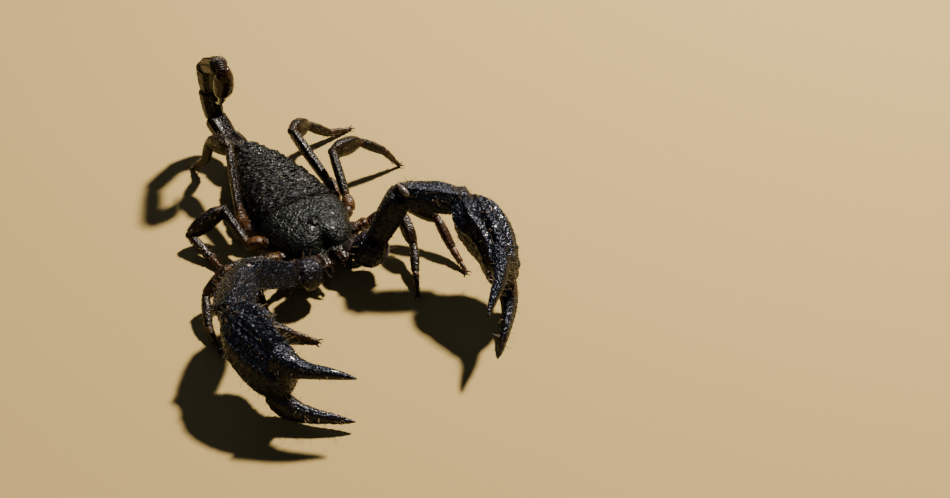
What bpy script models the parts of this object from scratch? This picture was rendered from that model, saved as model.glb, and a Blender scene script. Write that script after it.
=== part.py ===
"""Forest scorpion in a raised guarding pose, as a life-size still model."""

import math

import bmesh
import bpy
from mathutils import Matrix, Vector

# Lengths are in millimetres until a mesh is made; the head faces -Y and the left side is +X.
MM = 0.001
JOINT_GAP = 0.30
PLATE_GAP = 0.30

# Head shield
SHIELD_REAR = -5.2
SHIELD_FRONT = -22.9
SHIELD_EDGE_Z = 7.6
SHIELD_NOTCH = 1.9
SHIELD_SECTIONS = (  # distance from the rear edge, half width, crown height above the edge
    (0.0, 10.9, 4.7),
    (1.2, 11.2, 4.9),
    (5.0, 10.8, 4.8),
    (9.0, 9.8, 4.4),
    (12.5, 8.6, 3.9),
    (15.5, 7.3, 3.2),
    (17.0, 6.3, 2.5),
    (17.7, 5.2, 1.8),
)
EYE_MOUND_Y = -13.4
EYE_MOUND_SIZE = (2.6, 3.4, 1.3)
EYE_RADIUS = 0.75
EYE_SPREAD = 0.85

# Trunk plates: rear limits of the seven back plates, and of the five belly plates
BACK_PLATE_ENDS = (-2.9, 0.7, 5.0, 9.6, 14.4, 19.2, 25.6)
BELLY_PLATE_ENDS = (7.0, 11.4, 15.9, 20.6, 25.4)
BELLY_PLATE_START = 2.2
TRUNK_WIDTHS = (  # y, half width
    (-6.0, 11.2),
    (-3.0, 11.4),
    (1.0, 11.4),
    (5.0, 11.1),
    (9.0, 10.5),
    (13.0, 9.7),
    (17.0, 8.6),
    (20.0, 7.3),
    (23.0, 5.4),
    (26.0, 3.4),
)
TRUNK_CROWNS = (  # y, crown height above the plate edge
    (-6.0, 4.3),
    (2.0, 4.5),
    (9.0, 4.3),
    (15.0, 3.8),
    (20.0, 3.1),
    (26.0, 2.3),
)
PLATE_INSETS = (  # y, how far the back plates stop short of the flanks
    (-6.0, 0.6),
    (-3.0, 0.8),
    (1.0, 1.2),
    (5.0, 1.6),
    (14.0, 1.7),
    (20.0, 1.3),
    (26.0, 0.6),
)
PLATE_EDGE_Z = 7.9
MEMBRANE_TOP_Z = 7.6
MEMBRANE_BASE_Z = 5.4
MEMBRANE_BULGE = 0.3
BELLY_EDGE_Z = 5.1
BELLY_DEPTH = 2.1
COXA_BLOCK_TOP_Z = 6.7
COXA_BLOCK_BASE_Z = 3.6

# Tail: length, heading from straight back, rise, half width and half height of each segment
TAIL_ROOT = (-1.0, 25.9, 8.0)
TAIL_SEGMENTS = (
    ("tail_1", 6.6, 7, -5, 2.95, 2.8),
    ("tail_2", 7.9, 6, 25, 2.8, 2.7),
    ("tail_3", 9.1, 10, 84, 2.6, 2.55),
    ("tail_4", 10.4, 165, 72, 2.45, 2.45),
    ("tail_5", 13.6, 176, 31, 2.25, 2.2),
)
VENOM_BULB_LENGTH = 10.0
VENOM_BULB_TURN = (25, -80)
VENOM_BULB_SHIFT = Vector((0.9, -0.7, 0.0))
VENOM_BULB_HALF = (2.6, 2.4)
STING_LENGTH = 5.0

# Pincer arms: heading from straight ahead to the outside, and rise, of each segment
ARM_ROOT = (8.6, -25.9, 7.7)
KNOB_RADIUS = 3.7
ARM_UPPER = 18.4
ARM_FORE = 16.3
ARM_POSE = {
    "left": ((74, 61), (56, -8), (-24, -10), 13, 45),
    "right": ((88, 28), (38, 7), (-29, -5), 9, 37),
}
ARM_ROLL = {"left": 0, "right": 45}
HAND_SECTIONS = (  # along, half width, half thickness, width shift, outward shift
    (-0.9, 2.0, 1.9, 0.0, 0.2),
    (1.2, 4.2, 3.8, 0.2, 0.6),
    (4.0, 6.4, 5.4, 1.2, 1.3),
    (8.0, 7.8, 6.1, 2.2, 2.2),
    (12.0, 8.2, 5.3, 3.0, 3.6),
    (16.0, 7.6, 4.5, 3.8, 4.4),
    (19.2, 6.5, 3.9, 4.2, 4.3),
    (20.8, 5.7, 3.1, 3.9, 4.3),
)
FIXED_FINGER = (  # along, half width, half thickness, width shift, outward shift
    (16.5, 4.0, 3.3, 0.6, 4.6),
    (20.5, 2.8, 2.4, 0.8, 4.6),
    (24.5, 1.9, 1.7, 0.5, 4.0),
    (28.5, 1.45, 1.35, 0.1, 2.4),
    (32.0, 0.85, 0.80, 0.1, 0.8),
    (34.1, 0.30, 0.36, 0.1, 0.0),
)
FINGER_PIVOT = (18.6, 12.3, 4.4)
FINGER_CUT = (19.2, 11.2, 0.6, 0.8)
FINGER_CLOSED = -34
MOVING_FINGER = (  # along, half width, half thickness, width shift, outward shift
    (-4.0, 1.8, 2.0, -1.2, 0.0),
    (-1.5, 2.8, 2.5, -0.4, 0.0),
    (1.0, 3.1, 2.4, 0.5, 0.0),
    (4.5, 2.5, 1.9, 1.0, -0.5),
    (8.2, 1.95, 1.5, 0.7, -1.5),
    (11.8, 1.4, 1.2, 0.3, -2.9),
    (14.8, 0.8, 0.8, 0.0, -4.15),
    (16.4, 0.32, 0.36, -0.2, -4.9),
)

# Walking legs: hip, segment lengths, half heights, then heading and rise of each segment by side
FOOT_HALF = 0.55
SOLE_CUT = 0.16
HIPS = ((10.2, -19.9, 5.6), (11.6, -15.2, 6.0), (12.5, -8.7, 6.9), (13.3, 0.4, 5.2))
COXA_ROOTS = ((2.6, -15.6), (2.6, -13.4), (2.7, -11.0), (2.8, -8.2))
LEG_LENGTHS = (
    (11.4, 8.6, 7.4, 6.7),
    (12.9, 9.2, 8.5, 7.5),
    (16.4, 10.6, 8.5, 7.4),
    (22.3, 9.6, 8.9, 7.4),
)
LEG_HALF_HEIGHTS = (1.45, 1.55, 1.65, 1.75)
KNEE_FULLNESS = (1.27, 1.05, 1.15, 1.15)
SHIN_FULLNESS = (1.12, 1.12, 1.0, 1.0)
BENT_KNUCKLES = {  # heading, rise and length, where it turns off the thigh's line
    "leg_right_3": (123, -12, 3.6),
    "leg_right_4": (190, 50, 3.6),
}
LEG_POSE = {
    "left": (
        ((84, 24), (-5, -29), (-28, -26), -25),
        ((77, 20), (36, -14), (2, -36), 0),
        ((168, 27), (110, -16), (79, -37), 76),
        ((184, 18), (130, -26), (92, -40), 95),
    ),
    "right": (
        ((74, 6), (11, -29), (-34, -8), -45),
        ((86, 17), (80, -28), (22, -22), 2),
        ((177, 12), (94, -26), (-14, -18), -10),
        ((199, 27), (170, -18), (166, -68), 154),
    ),
}

COLOURS = {
    "shield_black": ("#1c1e1b", 0.38),
    "trunk_black": ("#20211d", 0.42),
    "membrane_brown": ("#5a4432", 0.50),
    "belly_brown": ("#4a3322", 0.45),
    "arm_black": ("#15171c", 0.30),
    "finger_black": ("#1b1614", 0.28),
    "jaw_brown": ("#3a2016", 0.35),
    "leg_brown": ("#45210f", 0.30),
    "foot_amber": ("#8a5a2a", 0.40),
    "tail_brown": ("#2a1a13", 0.35),
    "bulb_red": ("#5a2013", 0.22),
    "sting_dark": ("#1a0d09", 0.22),
    "comb_tan": ("#a07a4c", 0.50),
    "eye_black": ("#050505", 0.08),
}


def linear(channel):
    value = int(channel, 16) / 255
    return value / 12.92 if value <= 0.04045 else ((value + 0.055) / 1.055) ** 2.4


def make_material(name):
    colour, roughness = COLOURS[name]
    material = bpy.data.materials.new(name)
    material.use_nodes = True
    shader = material.node_tree.nodes["Principled BSDF"]
    rgb = [linear(colour[i : i + 2]) for i in (1, 3, 5)]
    shader.inputs["Base Color"].default_value = (*rgb, 1)
    shader.inputs["Roughness"].default_value = roughness
    material.diffuse_color = (*rgb, 1)
    return material


def direction(heading, rise, side=1, back=False):
    """Unit vector: heading in degrees from straight ahead (or back) to the outside."""
    turn = math.radians(heading)
    lift = math.radians(rise)
    forward = 1 if back else -1
    flat = math.cos(lift)
    return Vector((side * math.sin(turn) * flat, forward * math.cos(turn) * flat, math.sin(lift)))


def between(table, at):
    """Value at a place in a table of (place, value) rows, straight between rows."""
    for (low, first), (high, second) in zip(table, table[1:]):
        if at <= high:
            share = max(0.0, (at - low) / (high - low))
            return first + (second - first) * share
    return table[-1][1]


def ring(centre, across, up, half_across, above, below, count, power):
    """Points of one rounded section; a higher power is squarer."""
    points = []
    for i in range(count):
        turn = 2 * math.pi * (i + 0.5) / count
        c, s = math.cos(turn), math.sin(turn)
        x = math.copysign(abs(c) ** (2 / power), c) * half_across
        y = math.copysign(abs(s) ** (2 / power), s) * (above if s > 0 else below)
        points.append(centre + across * x + up * y)
    return points


def skin(rings):
    """A closed mesh through rings of equally many points."""
    mesh = bmesh.new()
    rows = [[mesh.verts.new(p) for p in points] for points in rings]
    count = len(rows[0])
    for a, b in zip(rows, rows[1:]):
        for i in range(count):
            j = (i + 1) % count
            mesh.faces.new((a[i], a[j], b[j], b[i]))
    mesh.faces.new(list(reversed(rows[0])))
    mesh.faces.new(rows[-1])
    bmesh.ops.recalc_face_normals(mesh, faces=mesh.faces)
    return mesh


def trim(mesh, point, normal):
    """Cuts away what lies beyond a plane and closes the cut."""
    whole = mesh.verts[:] + mesh.edges[:] + mesh.faces[:]
    cut = bmesh.ops.bisect_plane(
        mesh, geom=whole, plane_co=point, plane_no=normal, clear_outer=True, dist=1e-5
    )
    edges = [e for e in cut["geom_cut"] if isinstance(e, bmesh.types.BMEdge) and e.is_boundary]
    if edges:
        bmesh.ops.holes_fill(mesh, edges=edges, sides=0)
    bmesh.ops.recalc_face_normals(mesh, faces=mesh.faces)


def settle(mesh):
    """Cuts a small flat sole at floor level."""
    trim(mesh, Vector((0, 0, 0)), Vector((0, 0, -1)))


def add_part(name, mesh, colour, smooth=True):
    """Turns a millimetre mesh into an object with its own material."""
    bmesh.ops.triangulate(mesh, faces=[f for f in mesh.faces if len(f.verts) > 4])
    for vert in mesh.verts:
        vert.co *= MM
    data = bpy.data.meshes.new(name)
    mesh.to_mesh(data)
    mesh.free()
    data.polygons.foreach_set("use_smooth", [smooth] * len(data.polygons))
    part = bpy.data.objects.new(name, data)
    material = make_material(colour)
    material.name = name + "_" + colour
    data.materials.append(material)
    parts.objects.link(part)
    return part


def join(main, other):
    """Joins another mesh object to the first with an exact Boolean."""
    parts.objects.unlink(other)
    helpers.objects.link(other)
    union = main.modifiers.new("join_" + other.name, "BOOLEAN")
    union.operation = "UNION"
    union.solver = "EXACT"
    union.object = other


def limb_rings(start, way, up, length, sections, power=2.3, count=10):
    """Sections along a straight limb: (share of length, half across, above, below)."""
    across = way.cross(up).normalized()
    return [
        ring(start + way * (share * length), across, up, half, above, below, count, power)
        for share, half, above, below in sections
    ]


def upright(way, hint=(0, 0, 1)):
    """The direction closest to the hint that is square to the limb."""
    hint = Vector(hint)
    return (hint - way * hint.dot(way)).normalized()


def joint_cuts(before, way, after, start, end):
    """Planes that end a segment just short of its neighbours."""
    cuts = []
    if before is not None:
        slope = (before + way).normalized()
        cuts.append((start + slope * JOINT_GAP / 2, -slope))
    if after is not None:
        slope = (way + after).normalized()
        cuts.append((end - slope * JOINT_GAP / 2, slope))
    return cuts


def build_segment(name, start, way, length, sections, cuts, colour, power=2.3, count=10, up=None):
    up = up or upright(way)
    mesh = skin(limb_rings(start, way, up, length, sections, power, count))
    for point, normal in cuts:
        trim(mesh, point, normal)
    settle(mesh)
    return add_part(name, mesh, colour)


def arch(y, half_width, crown, edge_z, base_drop, count=14, power=2.2):
    """Section across the trunk: domed above its edge, nearly flat below."""
    across, up = Vector((1, 0, 0)), Vector((0, 0, 1))
    return ring(Vector((0, y, edge_z)), across, up, half_width, crown, base_drop, count, power)


def build_shield():
    rings = []
    for from_rear, half, crown in SHIELD_SECTIONS:
        y = SHIELD_REAR - from_rear
        near_front = max(0.0, (from_rear - 11.0) / 6.7)
        points = arch(y, half, crown, SHIELD_EDGE_Z, 0.5, 20, 2.3)
        for p in points:
            p.y += SHIELD_NOTCH * near_front**2 * math.exp(-((p.x / 1.7) ** 2))
            p.z -= 0.35 * near_front * math.exp(-((p.x / 1.0) ** 2))
        rings.append(points)
    return add_part("head_shield", skin(rings), "shield_black")


def build_eyes():
    """Low mound with the two median eyes."""
    top = SHIELD_EDGE_Z + 4.5
    length, width = EYE_MOUND_SIZE[1], EYE_MOUND_SIZE[0]
    mesh = bmesh.new()
    bmesh.ops.create_icosphere(
        mesh,
        subdivisions=2,
        radius=1,
        matrix=Matrix.Translation((0, EYE_MOUND_Y, top))
        @ Matrix.Diagonal((width / 2, length / 2, EYE_MOUND_SIZE[2], 1)),
    )
    clear_of_shield = top + 0.3
    trim(mesh, Vector((0, 0, clear_of_shield)), Vector((0, 0, -1)))
    mound = add_part("median_eyes", mesh, "eye_black")
    for side in (-1, 1):
        mesh = bmesh.new()
        place = Matrix.Translation((side * EYE_SPREAD, EYE_MOUND_Y, top + 0.75))
        bmesh.ops.create_icosphere(mesh, subdivisions=2, radius=EYE_RADIUS, matrix=place)
        join(mound, add_part("eye_bead_" + str(side + 1), mesh, "eye_black"))
    return mound


def build_trunk():
    start = SHIELD_REAR + PLATE_GAP
    for number, end in enumerate(BACK_PLATE_ENDS, 1):
        rings = []
        for share, swell in ((0.0, 0.955), (0.25, 0.975), (0.85, 1.0), (1.0, 0.985)):
            y = start + (end - PLATE_GAP - start) * share
            half = (between(TRUNK_WIDTHS, y) - between(PLATE_INSETS, y)) * (swell + 0.01)
            crown = between(TRUNK_CROWNS, y) * swell
            rings.append(arch(y, half, crown, PLATE_EDGE_Z, 0.1))
        add_part("back_plate_" + str(number), skin(rings), "trunk_black")
        start = end
    rings = []
    for y in (2.9, 5.0, 10.0, 15.0, 20.0, 24.9):
        half = between(TRUNK_WIDTHS, y) + MEMBRANE_BULGE
        middle = (MEMBRANE_TOP_Z + MEMBRANE_BASE_Z) / 2
        depth = (MEMBRANE_TOP_Z - MEMBRANE_BASE_Z) / 2
        rings.append(arch(y, half, depth, middle, depth, 14, 3.4))
    add_part("side_membrane", skin(rings), "membrane_brown")
    start = BELLY_PLATE_START
    for number, end in enumerate(BELLY_PLATE_ENDS, 3):
        rings = []
        for share, swell in ((0.0, 0.97), (0.8, 1.0), (1.0, 0.98)):
            y = start + (end - PLATE_GAP - start) * share
            half = (between(TRUNK_WIDTHS, y) - 0.5) * swell
            depth = BELLY_DEPTH * swell * (1.0 if y < 18 else 1.0 - (y - 18) * 0.035)
            rings.append(arch(y, half, 0.08, BELLY_EDGE_Z, depth, 14, 2.6))
        add_part("belly_plate_" + str(number), skin(rings), "belly_brown")
        start = end


def build_coxa_block():
    """Breastplate with the fixed bases of the arms and legs."""
    middle = (COXA_BLOCK_TOP_Z + COXA_BLOCK_BASE_Z) / 2
    depth = (COXA_BLOCK_TOP_Z - COXA_BLOCK_BASE_Z) / 2
    rings = []
    for y, half in ((-19.5, 3.6), (-17.0, 4.6), (-10.0, 5.2), (-4.0, 5.0), (-1.0, 3.8)):
        rings.append(arch(y, half, depth, middle, depth, 12, 3.5))
    block = add_part("coxa_block", skin(rings), "belly_brown")
    for side_name, side in (("left", 1), ("right", -1)):
        for number in range(4):
            block_leg = build_coxa(number, side_name, side)
            join(block, block_leg)
        root = Vector((side * 3.0, -17.5, 5.4))
        knob = Vector((side * ARM_ROOT[0], ARM_ROOT[1], ARM_ROOT[2]))
        way = (knob - root).normalized()
        length = (knob - root).length - KNOB_RADIUS - JOINT_GAP + 0.6
        sections = ((0, 1.8, 1.2, 1.5), (0.5, 2.5, 1.6, 2.0), (0.85, 2.7, 1.8, 2.2), (1, 2.0, 1.3, 1.5))
        mesh = skin(limb_rings(root, way, upright(way), length, sections))
        clear_of_knob = knob - way * (KNOB_RADIUS + JOINT_GAP)
        trim(mesh, clear_of_knob, way)
        trim(mesh, Vector((0, 0, SHIELD_EDGE_Z - 0.8)), Vector((0, 0, 1)))
        join(block, add_part("arm_base_" + side_name, mesh, "belly_brown"))
    return block


def coxa_way(number, side):
    root = Vector((side * COXA_ROOTS[number][0], COXA_ROOTS[number][1], 5.1))
    hip = Vector((side * HIPS[number][0], *HIPS[number][1:]))
    return root, hip, (hip - root).normalized()


def build_coxa(number, side_name, side):
    root, hip, way = coxa_way(number, side)
    length = (hip - root).length
    half = LEG_HALF_HEIGHTS[number]
    sections = (
        (0, half * 0.75, half * 0.8, half * 0.8),
        (0.5, half * 1.1, half * 0.85, half * 0.95),
        (0.85, half * 1.05, half * 0.9, half * 0.95),
        (1.05, half * 0.85, half * 0.8, half * 0.8),
    )
    mesh = skin(limb_rings(root, way, upright(way), length, sections, 2.3, 8))
    label = "leg_" + side_name + "_" + str(number + 1)
    first = direction(*BENT_KNUCKLES.get(label, LEG_POSE[side_name][number][0])[:2], side)
    slope = (way + first).normalized()
    trim(mesh, hip - slope * JOINT_GAP / 2, slope)
    trim(mesh, Vector((0, 0, COXA_BLOCK_TOP_Z)), Vector((0, 0, 1)))
    return add_part("coxa_" + side_name + str(number), mesh, "belly_brown")


def build_combs():
    """The pair of comb organs, joined by their base plate."""
    half, y, z = 6.4, 0.6, 3.9
    rings = []
    for x, reach in ((-half, 0.5), (-half * 0.6, 0.9), (0, 0.9), (half * 0.6, 0.9), (half, 0.5)):
        centre = Vector((x, y + abs(x) * 0.10, z - 0.9))
        rings.append(ring(centre, Vector((0, 1, 0)), Vector((0, 0, 1)), reach, 0.35, 0.35, 8, 3))
    return add_part("comb_organs", skin(rings), "comb_tan")


def build_jaw(side_name, side):
    """Chelicera: a stout base with two short fingers."""
    start = Vector((side * 2.35, -18.4, 8.2))
    way = direction(-1 if side > 0 else 1, -9, 1)
    sections = (
        (0.62, 1.75, 0.9, 1.3),
        (0.70, 1.85, 1.15, 1.4),
        (0.85, 1.8, 1.2, 1.4),
        (0.97, 1.5, 1.0, 1.2),
    )
    length = 8.8
    base = skin(limb_rings(start, way, upright(way), length, sections, 2.4, 10))
    jaw = add_part("jaw_" + side_name, base, "jaw_brown")
    tips = ((0.75, -0.1, 3.2, -6), (-0.75, -0.3, 2.6, 6))
    for number, (shift, lift, reach, turn) in enumerate(tips):
        tip_way = direction(turn * side, -24, 1)
        root = start + way * (length * 0.88) + Vector((side * shift, 0, lift))
        tip_sections = ((0, 0.75, 0.75, 0.75), (0.55, 0.6, 0.6, 0.6), (1, 0.25, 0.25, 0.25))
        tip = skin(limb_rings(root, tip_way, upright(tip_way), reach, tip_sections, 2, 8))
        join(jaw, add_part("jaw_tip_" + side_name + str(number), tip, "jaw_brown"))
    return jaw


def build_tail():
    start = Vector(TAIL_ROOT)
    ways = [direction(row[2], row[3], -1, True) for row in TAIL_SEGMENTS]
    bulb_way = direction(*VENOM_BULB_TURN, -1, True)
    before = Vector((0, 1, 0))
    for i, (name, length, _, _, half, high) in enumerate(TAIL_SEGMENTS):
        way = ways[i]
        after = ways[i + 1] if i + 1 < len(ways) else bulb_way
        end = start + way * length
        first = 0.72 if i else 0.85
        last = 0.70 if i < 4 else 0.62
        sections = (
            (-0.12, half * first, high * first, high * first),
            (0.08, half * 0.86, high * 0.86, high * 0.88),
            (0.35, half * 0.97, high * 0.98, high),
            (0.75, half, high, high),
            (0.95, half * 0.93, high * 0.95, high * 0.9),
            (1.1, half * last, high * last, high * last),
        )
        cuts = joint_cuts(before, way, after, start, end)
        up = upright(way, (0, -0.6, 0.8))
        build_segment(name, start, way, length, sections, cuts, "tail_brown", 2.7, 12, up)
        before, start = way, end
    build_telson(start, before, bulb_way)


def build_telson(start, before, way):
    half, high = VENOM_BULB_HALF
    up = upright(way, (0, -1, 0))
    sections = (
        (-0.04, half * 0.50, high * 0.50, high * 0.50),
        (0.10, half * 0.78, high * 0.78, high * 0.68),
        (0.32, half * 0.99, high * 1.03, high * 0.88),
        (0.58, half * 1.02, high * 1.06, high * 0.94),
        (0.80, half * 0.86, high * 0.80, high * 0.88),
        (0.94, half * 0.54, high * 0.40, high * 0.66),
        (1.0, half * 0.40, high * 0.22, high * 0.54),
    )
    start = start + way * 1.1 + VENOM_BULB_SHIFT
    cuts = joint_cuts(before, way, None, start, None)
    build_segment("venom_bulb", start, way, VENOM_BULB_LENGTH, sections, cuts, "bulb_red", 2, 12, up)
    root = start + way * (VENOM_BULB_LENGTH + JOINT_GAP) - up * high * 0.16
    rings = []
    for i in range(6):
        share = i / 5
        bend = math.radians(-80 + 62 * share)
        turn = Vector((-0.15, math.cos(bend), math.sin(bend))).normalized()
        if i:
            root = root + turn * (STING_LENGTH / 5)
        side = turn.cross(Vector((1, 0, 0))).normalized()
        across = side.cross(turn).normalized()
        size = 0.85 * (1 - share) + 0.26
        rings.append(ring(root, across, side, size, size, size, 8, 2))
    add_part("sting", skin(rings), "sting_dark")


def hand_frame(side, turn, roll):
    """Length, width and outward directions of a pincer; width runs to the moving finger."""
    along = direction(*turn, side)
    down = upright(along, (0, 0, -1))
    out = along.cross(down)
    out = out if out.x * side > 0 else -out
    tilt = math.radians(roll)
    width = down * math.cos(tilt) + out * math.sin(tilt)
    outward = out * math.cos(tilt) - down * math.sin(tilt)
    return along, width, outward


def claw_rings(origin, frame, sections, count, power):
    along, width, outward = frame
    rings = []
    for reach, half, thick, shift, out in sections:
        centre = origin + along * reach + width * shift + outward * out
        rings.append(ring(centre, width, outward, half, thick, thick, count, power))
    return rings


def build_arm(side_name, side):
    upper_turn, fore_turn, hand_turn, roll, opening = ARM_POSE[side_name]
    knob = Vector((side * ARM_ROOT[0], ARM_ROOT[1], ARM_ROOT[2]))
    upper = direction(*upper_turn, side)
    fore = direction(*fore_turn, side)
    frame = hand_frame(side, hand_turn, roll)
    elbow = knob + upper * ARM_UPPER
    wrist = elbow + fore * ARM_FORE

    rolled = math.radians(ARM_ROLL[side_name])

    r = KNOB_RADIUS
    knob_sections = (
        (-0.93, r * 0.40, r * 0.40, r * 0.40),
        (-0.70, r * 0.74, r * 0.74, r * 0.74),
        (-0.15, r, r * 0.98, r * 0.98),
        (0.45, r * 0.95, r * 0.95, r * 0.95),
        (0.86, r * 0.70, r * 0.70, r * 0.70),
    )
    up = upright(upper, fore)
    build_segment("arm_knob_" + side_name, knob, upper, r, knob_sections, (), "arm_black", 2.1, 12, up)

    begin = (r * 0.86 + JOINT_GAP) / ARM_UPPER
    sections = (
        (begin, 1.9, 1.9, 1.9),
        (0.30, 3.0, 2.7, 2.7),
        (0.62, 3.5, 3.1, 3.1),
        (0.88, 3.6, 3.1, 3.2),
        (1.0, 3.1, 2.7, 3.0),
        (1.12, 1.9, 1.9, 1.9),
    )
    cuts = joint_cuts(None, upper, fore, None, elbow)
    up = Matrix.Rotation(rolled, 3, upper) @ up
    build_segment("arm_upper_" + side_name, knob, upper, ARM_UPPER, sections, cuts, "arm_black", 3.0, 12, up)

    sections = (
        (-0.12, 1.9, 1.9, 1.9),
        (0.02, 2.9, 2.7, 2.8),
        (0.30, 3.6, 3.2, 3.4),
        (0.65, 3.6, 3.2, 3.3),
        (0.92, 3.1, 2.8, 2.8),
        (1.06, 2.1, 2.0, 2.0),
    )
    cuts = joint_cuts(upper, fore, frame[0], elbow, wrist)
    up = Matrix.Rotation(rolled, 3, fore) @ upright(fore, frame[2])
    build_segment("arm_fore_" + side_name, elbow, fore, ARM_FORE, sections, cuts, "arm_black", 2.8, 12, up)

    slope = (fore + frame[0]).normalized()
    along, width, outward = frame
    palm = skin(claw_rings(wrist, frame, HAND_SECTIONS, 16, 2.3))
    trim(palm, wrist + slope * JOINT_GAP / 2, -slope)
    hinge = wrist + along * FINGER_CUT[0] + width * FINGER_CUT[1]
    parting = (along * FINGER_CUT[2] + width * FINGER_CUT[3]).normalized()
    trim(palm, hinge - parting * JOINT_GAP / 2, parting)
    hand = add_part("hand_" + side_name, palm, "arm_black")
    finger = skin(claw_rings(wrist, frame, FIXED_FINGER, 12, 2.2))
    join(hand, add_part("fixed_finger_" + side_name, finger, "arm_black"))

    pivot = wrist + along * FINGER_PIVOT[0] + width * FINGER_PIVOT[1] + outward * FINGER_PIVOT[2]
    swing = math.radians(FINGER_CLOSED + opening)
    reach = along * math.cos(swing) + width * math.sin(swing)
    cross = width * math.cos(swing) - along * math.sin(swing)
    mesh = skin(claw_rings(pivot, (reach, cross, outward), MOVING_FINGER, 12, 2.2))
    trim(mesh, hinge + parting * JOINT_GAP / 2, -parting)
    settle(mesh)
    add_part("moving_finger_" + side_name, mesh, "finger_black")


def build_leg(number, side_name, side):
    pose = LEG_POSE[side_name][number]
    lengths = LEG_LENGTHS[number]
    half = LEG_HALF_HEIGHTS[number]
    _, hip, before = coxa_way(number, side)
    ways = [direction(*turn, side) for turn in pose[:3]]
    label = "leg_" + side_name + "_" + str(number + 1)
    knuckle, knuckle_length = ways[0], lengths[0] * 0.22
    if label in BENT_KNUCKLES:
        knuckle = direction(*BENT_KNUCKLES[label][:2], side)
        knuckle_length = BENT_KNUCKLES[label][2]
    turn = hip + knuckle * knuckle_length
    places = [hip, turn + ways[0] * (lengths[0] - knuckle_length)]
    for way, length in zip(ways[1:], lengths[1:3]):
        places.append(places[-1] + way * length)
    drop = math.degrees(math.asin((FOOT_HALF - places[3].z) / lengths[3]))
    foot_z = FOOT_HALF * math.cos(math.radians(drop)) - SOLE_CUT
    drop = math.degrees(math.asin((foot_z - places[3].z) / lengths[3]))
    ways.append(direction(pose[3], drop, side))
    places.append(places[3] + ways[3] * lengths[3])

    rings = []
    long = lengths[0]
    stations = (
        (hip, knuckle, -0.08 * long, 0.8, 0.9),
        (hip, knuckle, 0.06 * long, 0.95, 1.05),
        (turn, (knuckle + ways[0]).normalized(), 0, 0.78, 0.85),
        (turn, ways[0], 0.09 * long, 0.70, 0.92),
        (turn, ways[0], 0.48 * long, 0.72, 1.05),
        (places[1], ways[0], -0.04 * long, 0.62, 0.9),
        (places[1], ways[0], 0.08 * long, 0.45, 0.6),
    )
    for base, way, reach, wide, tall in stations:
        up = upright(way)
        rings.append(ring(base + way * reach, way.cross(up).normalized(), up, half * wide, half * tall, half * tall, 8, 2.4))
    mesh = skin(rings)
    for point, normal in joint_cuts(before, knuckle, None, hip, None) + joint_cuts(None, ways[0], ways[1], None, places[1]):
        trim(mesh, point, normal)
    settle(mesh)
    add_part(label + "_thigh", mesh, "leg_brown")

    full = KNEE_FULLNESS[number]
    sections = (
        (-0.12, half * 0.5, half * 0.7, half * 0.6),
        (0.05, half * 0.72, half * 1.05, half * 0.95),
        (0.40, half * 0.85 * full, half * 1.32 * full, half * 1.25 * full),
        (0.75, half * 0.80 * full, half * 1.15 * full, half * 1.20 * full),
        (0.97, half * 0.62, half * 0.8, half * 0.8),
        (1.08, half * 0.45, half * 0.6, half * 0.6),
    )
    cuts = joint_cuts(ways[0], ways[1], ways[2], places[1], places[2])
    build_segment(label + "_knee", places[1], ways[1], lengths[1], sections, cuts, "leg_brown", 2.4, 8)

    start, bend, end = places[2], places[3], places[4]
    thick = half * 0.72 * SHIN_FULLNESS[number]
    rings = []
    stations = (
        (start, ways[2], -0.5, thick * 0.7),
        (start, ways[2], 1.0, thick * 0.95),
        (start, ways[2], lengths[2] * 0.45, thick * 1.15),
        (start, ways[2], lengths[2] * 0.85, thick * 0.92),
        (bend, (ways[2] + ways[3]).normalized(), 0.0, thick * 0.78),
        (bend, ways[3], lengths[3] * 0.40, thick * 0.72),
        (bend, ways[3], lengths[3] * 0.80, max(FOOT_HALF, thick * 0.52)),
        (end, ways[3], 0.0, FOOT_HALF),
    )
    for base, way, reach, size in stations:
        up = upright(way)
        across = way.cross(up).normalized()
        rings.append(ring(base + way * reach, across, up, size * 0.9, size, size, 8, 2.2))
    mesh = skin(rings)
    for point, normal in joint_cuts(ways[1], ways[2], None, start, None):
        trim(mesh, point, normal)
    settle(mesh)
    pale = label == "leg_left_2"
    add_part(label + "_shin", mesh, "foot_amber" if pale else "leg_brown")


def centre_on_origin():
    """Moves the whole model so that its box stands centred on the origin."""
    meshes = [p.data for p in list(parts.objects) + list(helpers.objects)]
    points = [v.co for p in parts.objects for v in p.data.vertices]
    middle = [(min(p[i] for p in points) + max(p[i] for p in points)) / 2 for i in (0, 1)]
    shift = Matrix.Translation((-middle[0], -middle[1], 0))
    for data in meshes:
        data.transform(shift)


for item in list(bpy.data.objects):
    bpy.data.objects.remove(item)

parts = bpy.data.collections.new("scorpion")
helpers = bpy.data.collections.new("joined_pieces")
helpers.hide_render = True
bpy.context.scene.collection.children.link(parts)
bpy.context.scene.collection.children.link(helpers)

build_shield()
build_eyes()
build_trunk()
build_coxa_block()
build_combs()
build_tail()
for label, sign in (("left", 1), ("right", -1)):
    build_jaw(label, sign)
    build_arm(label, sign)
    for index in range(4):
        build_leg(index, label, sign)
centre_on_origin()
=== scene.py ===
import math

import bpy
import numpy as np
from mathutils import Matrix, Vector, kdtree


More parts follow.
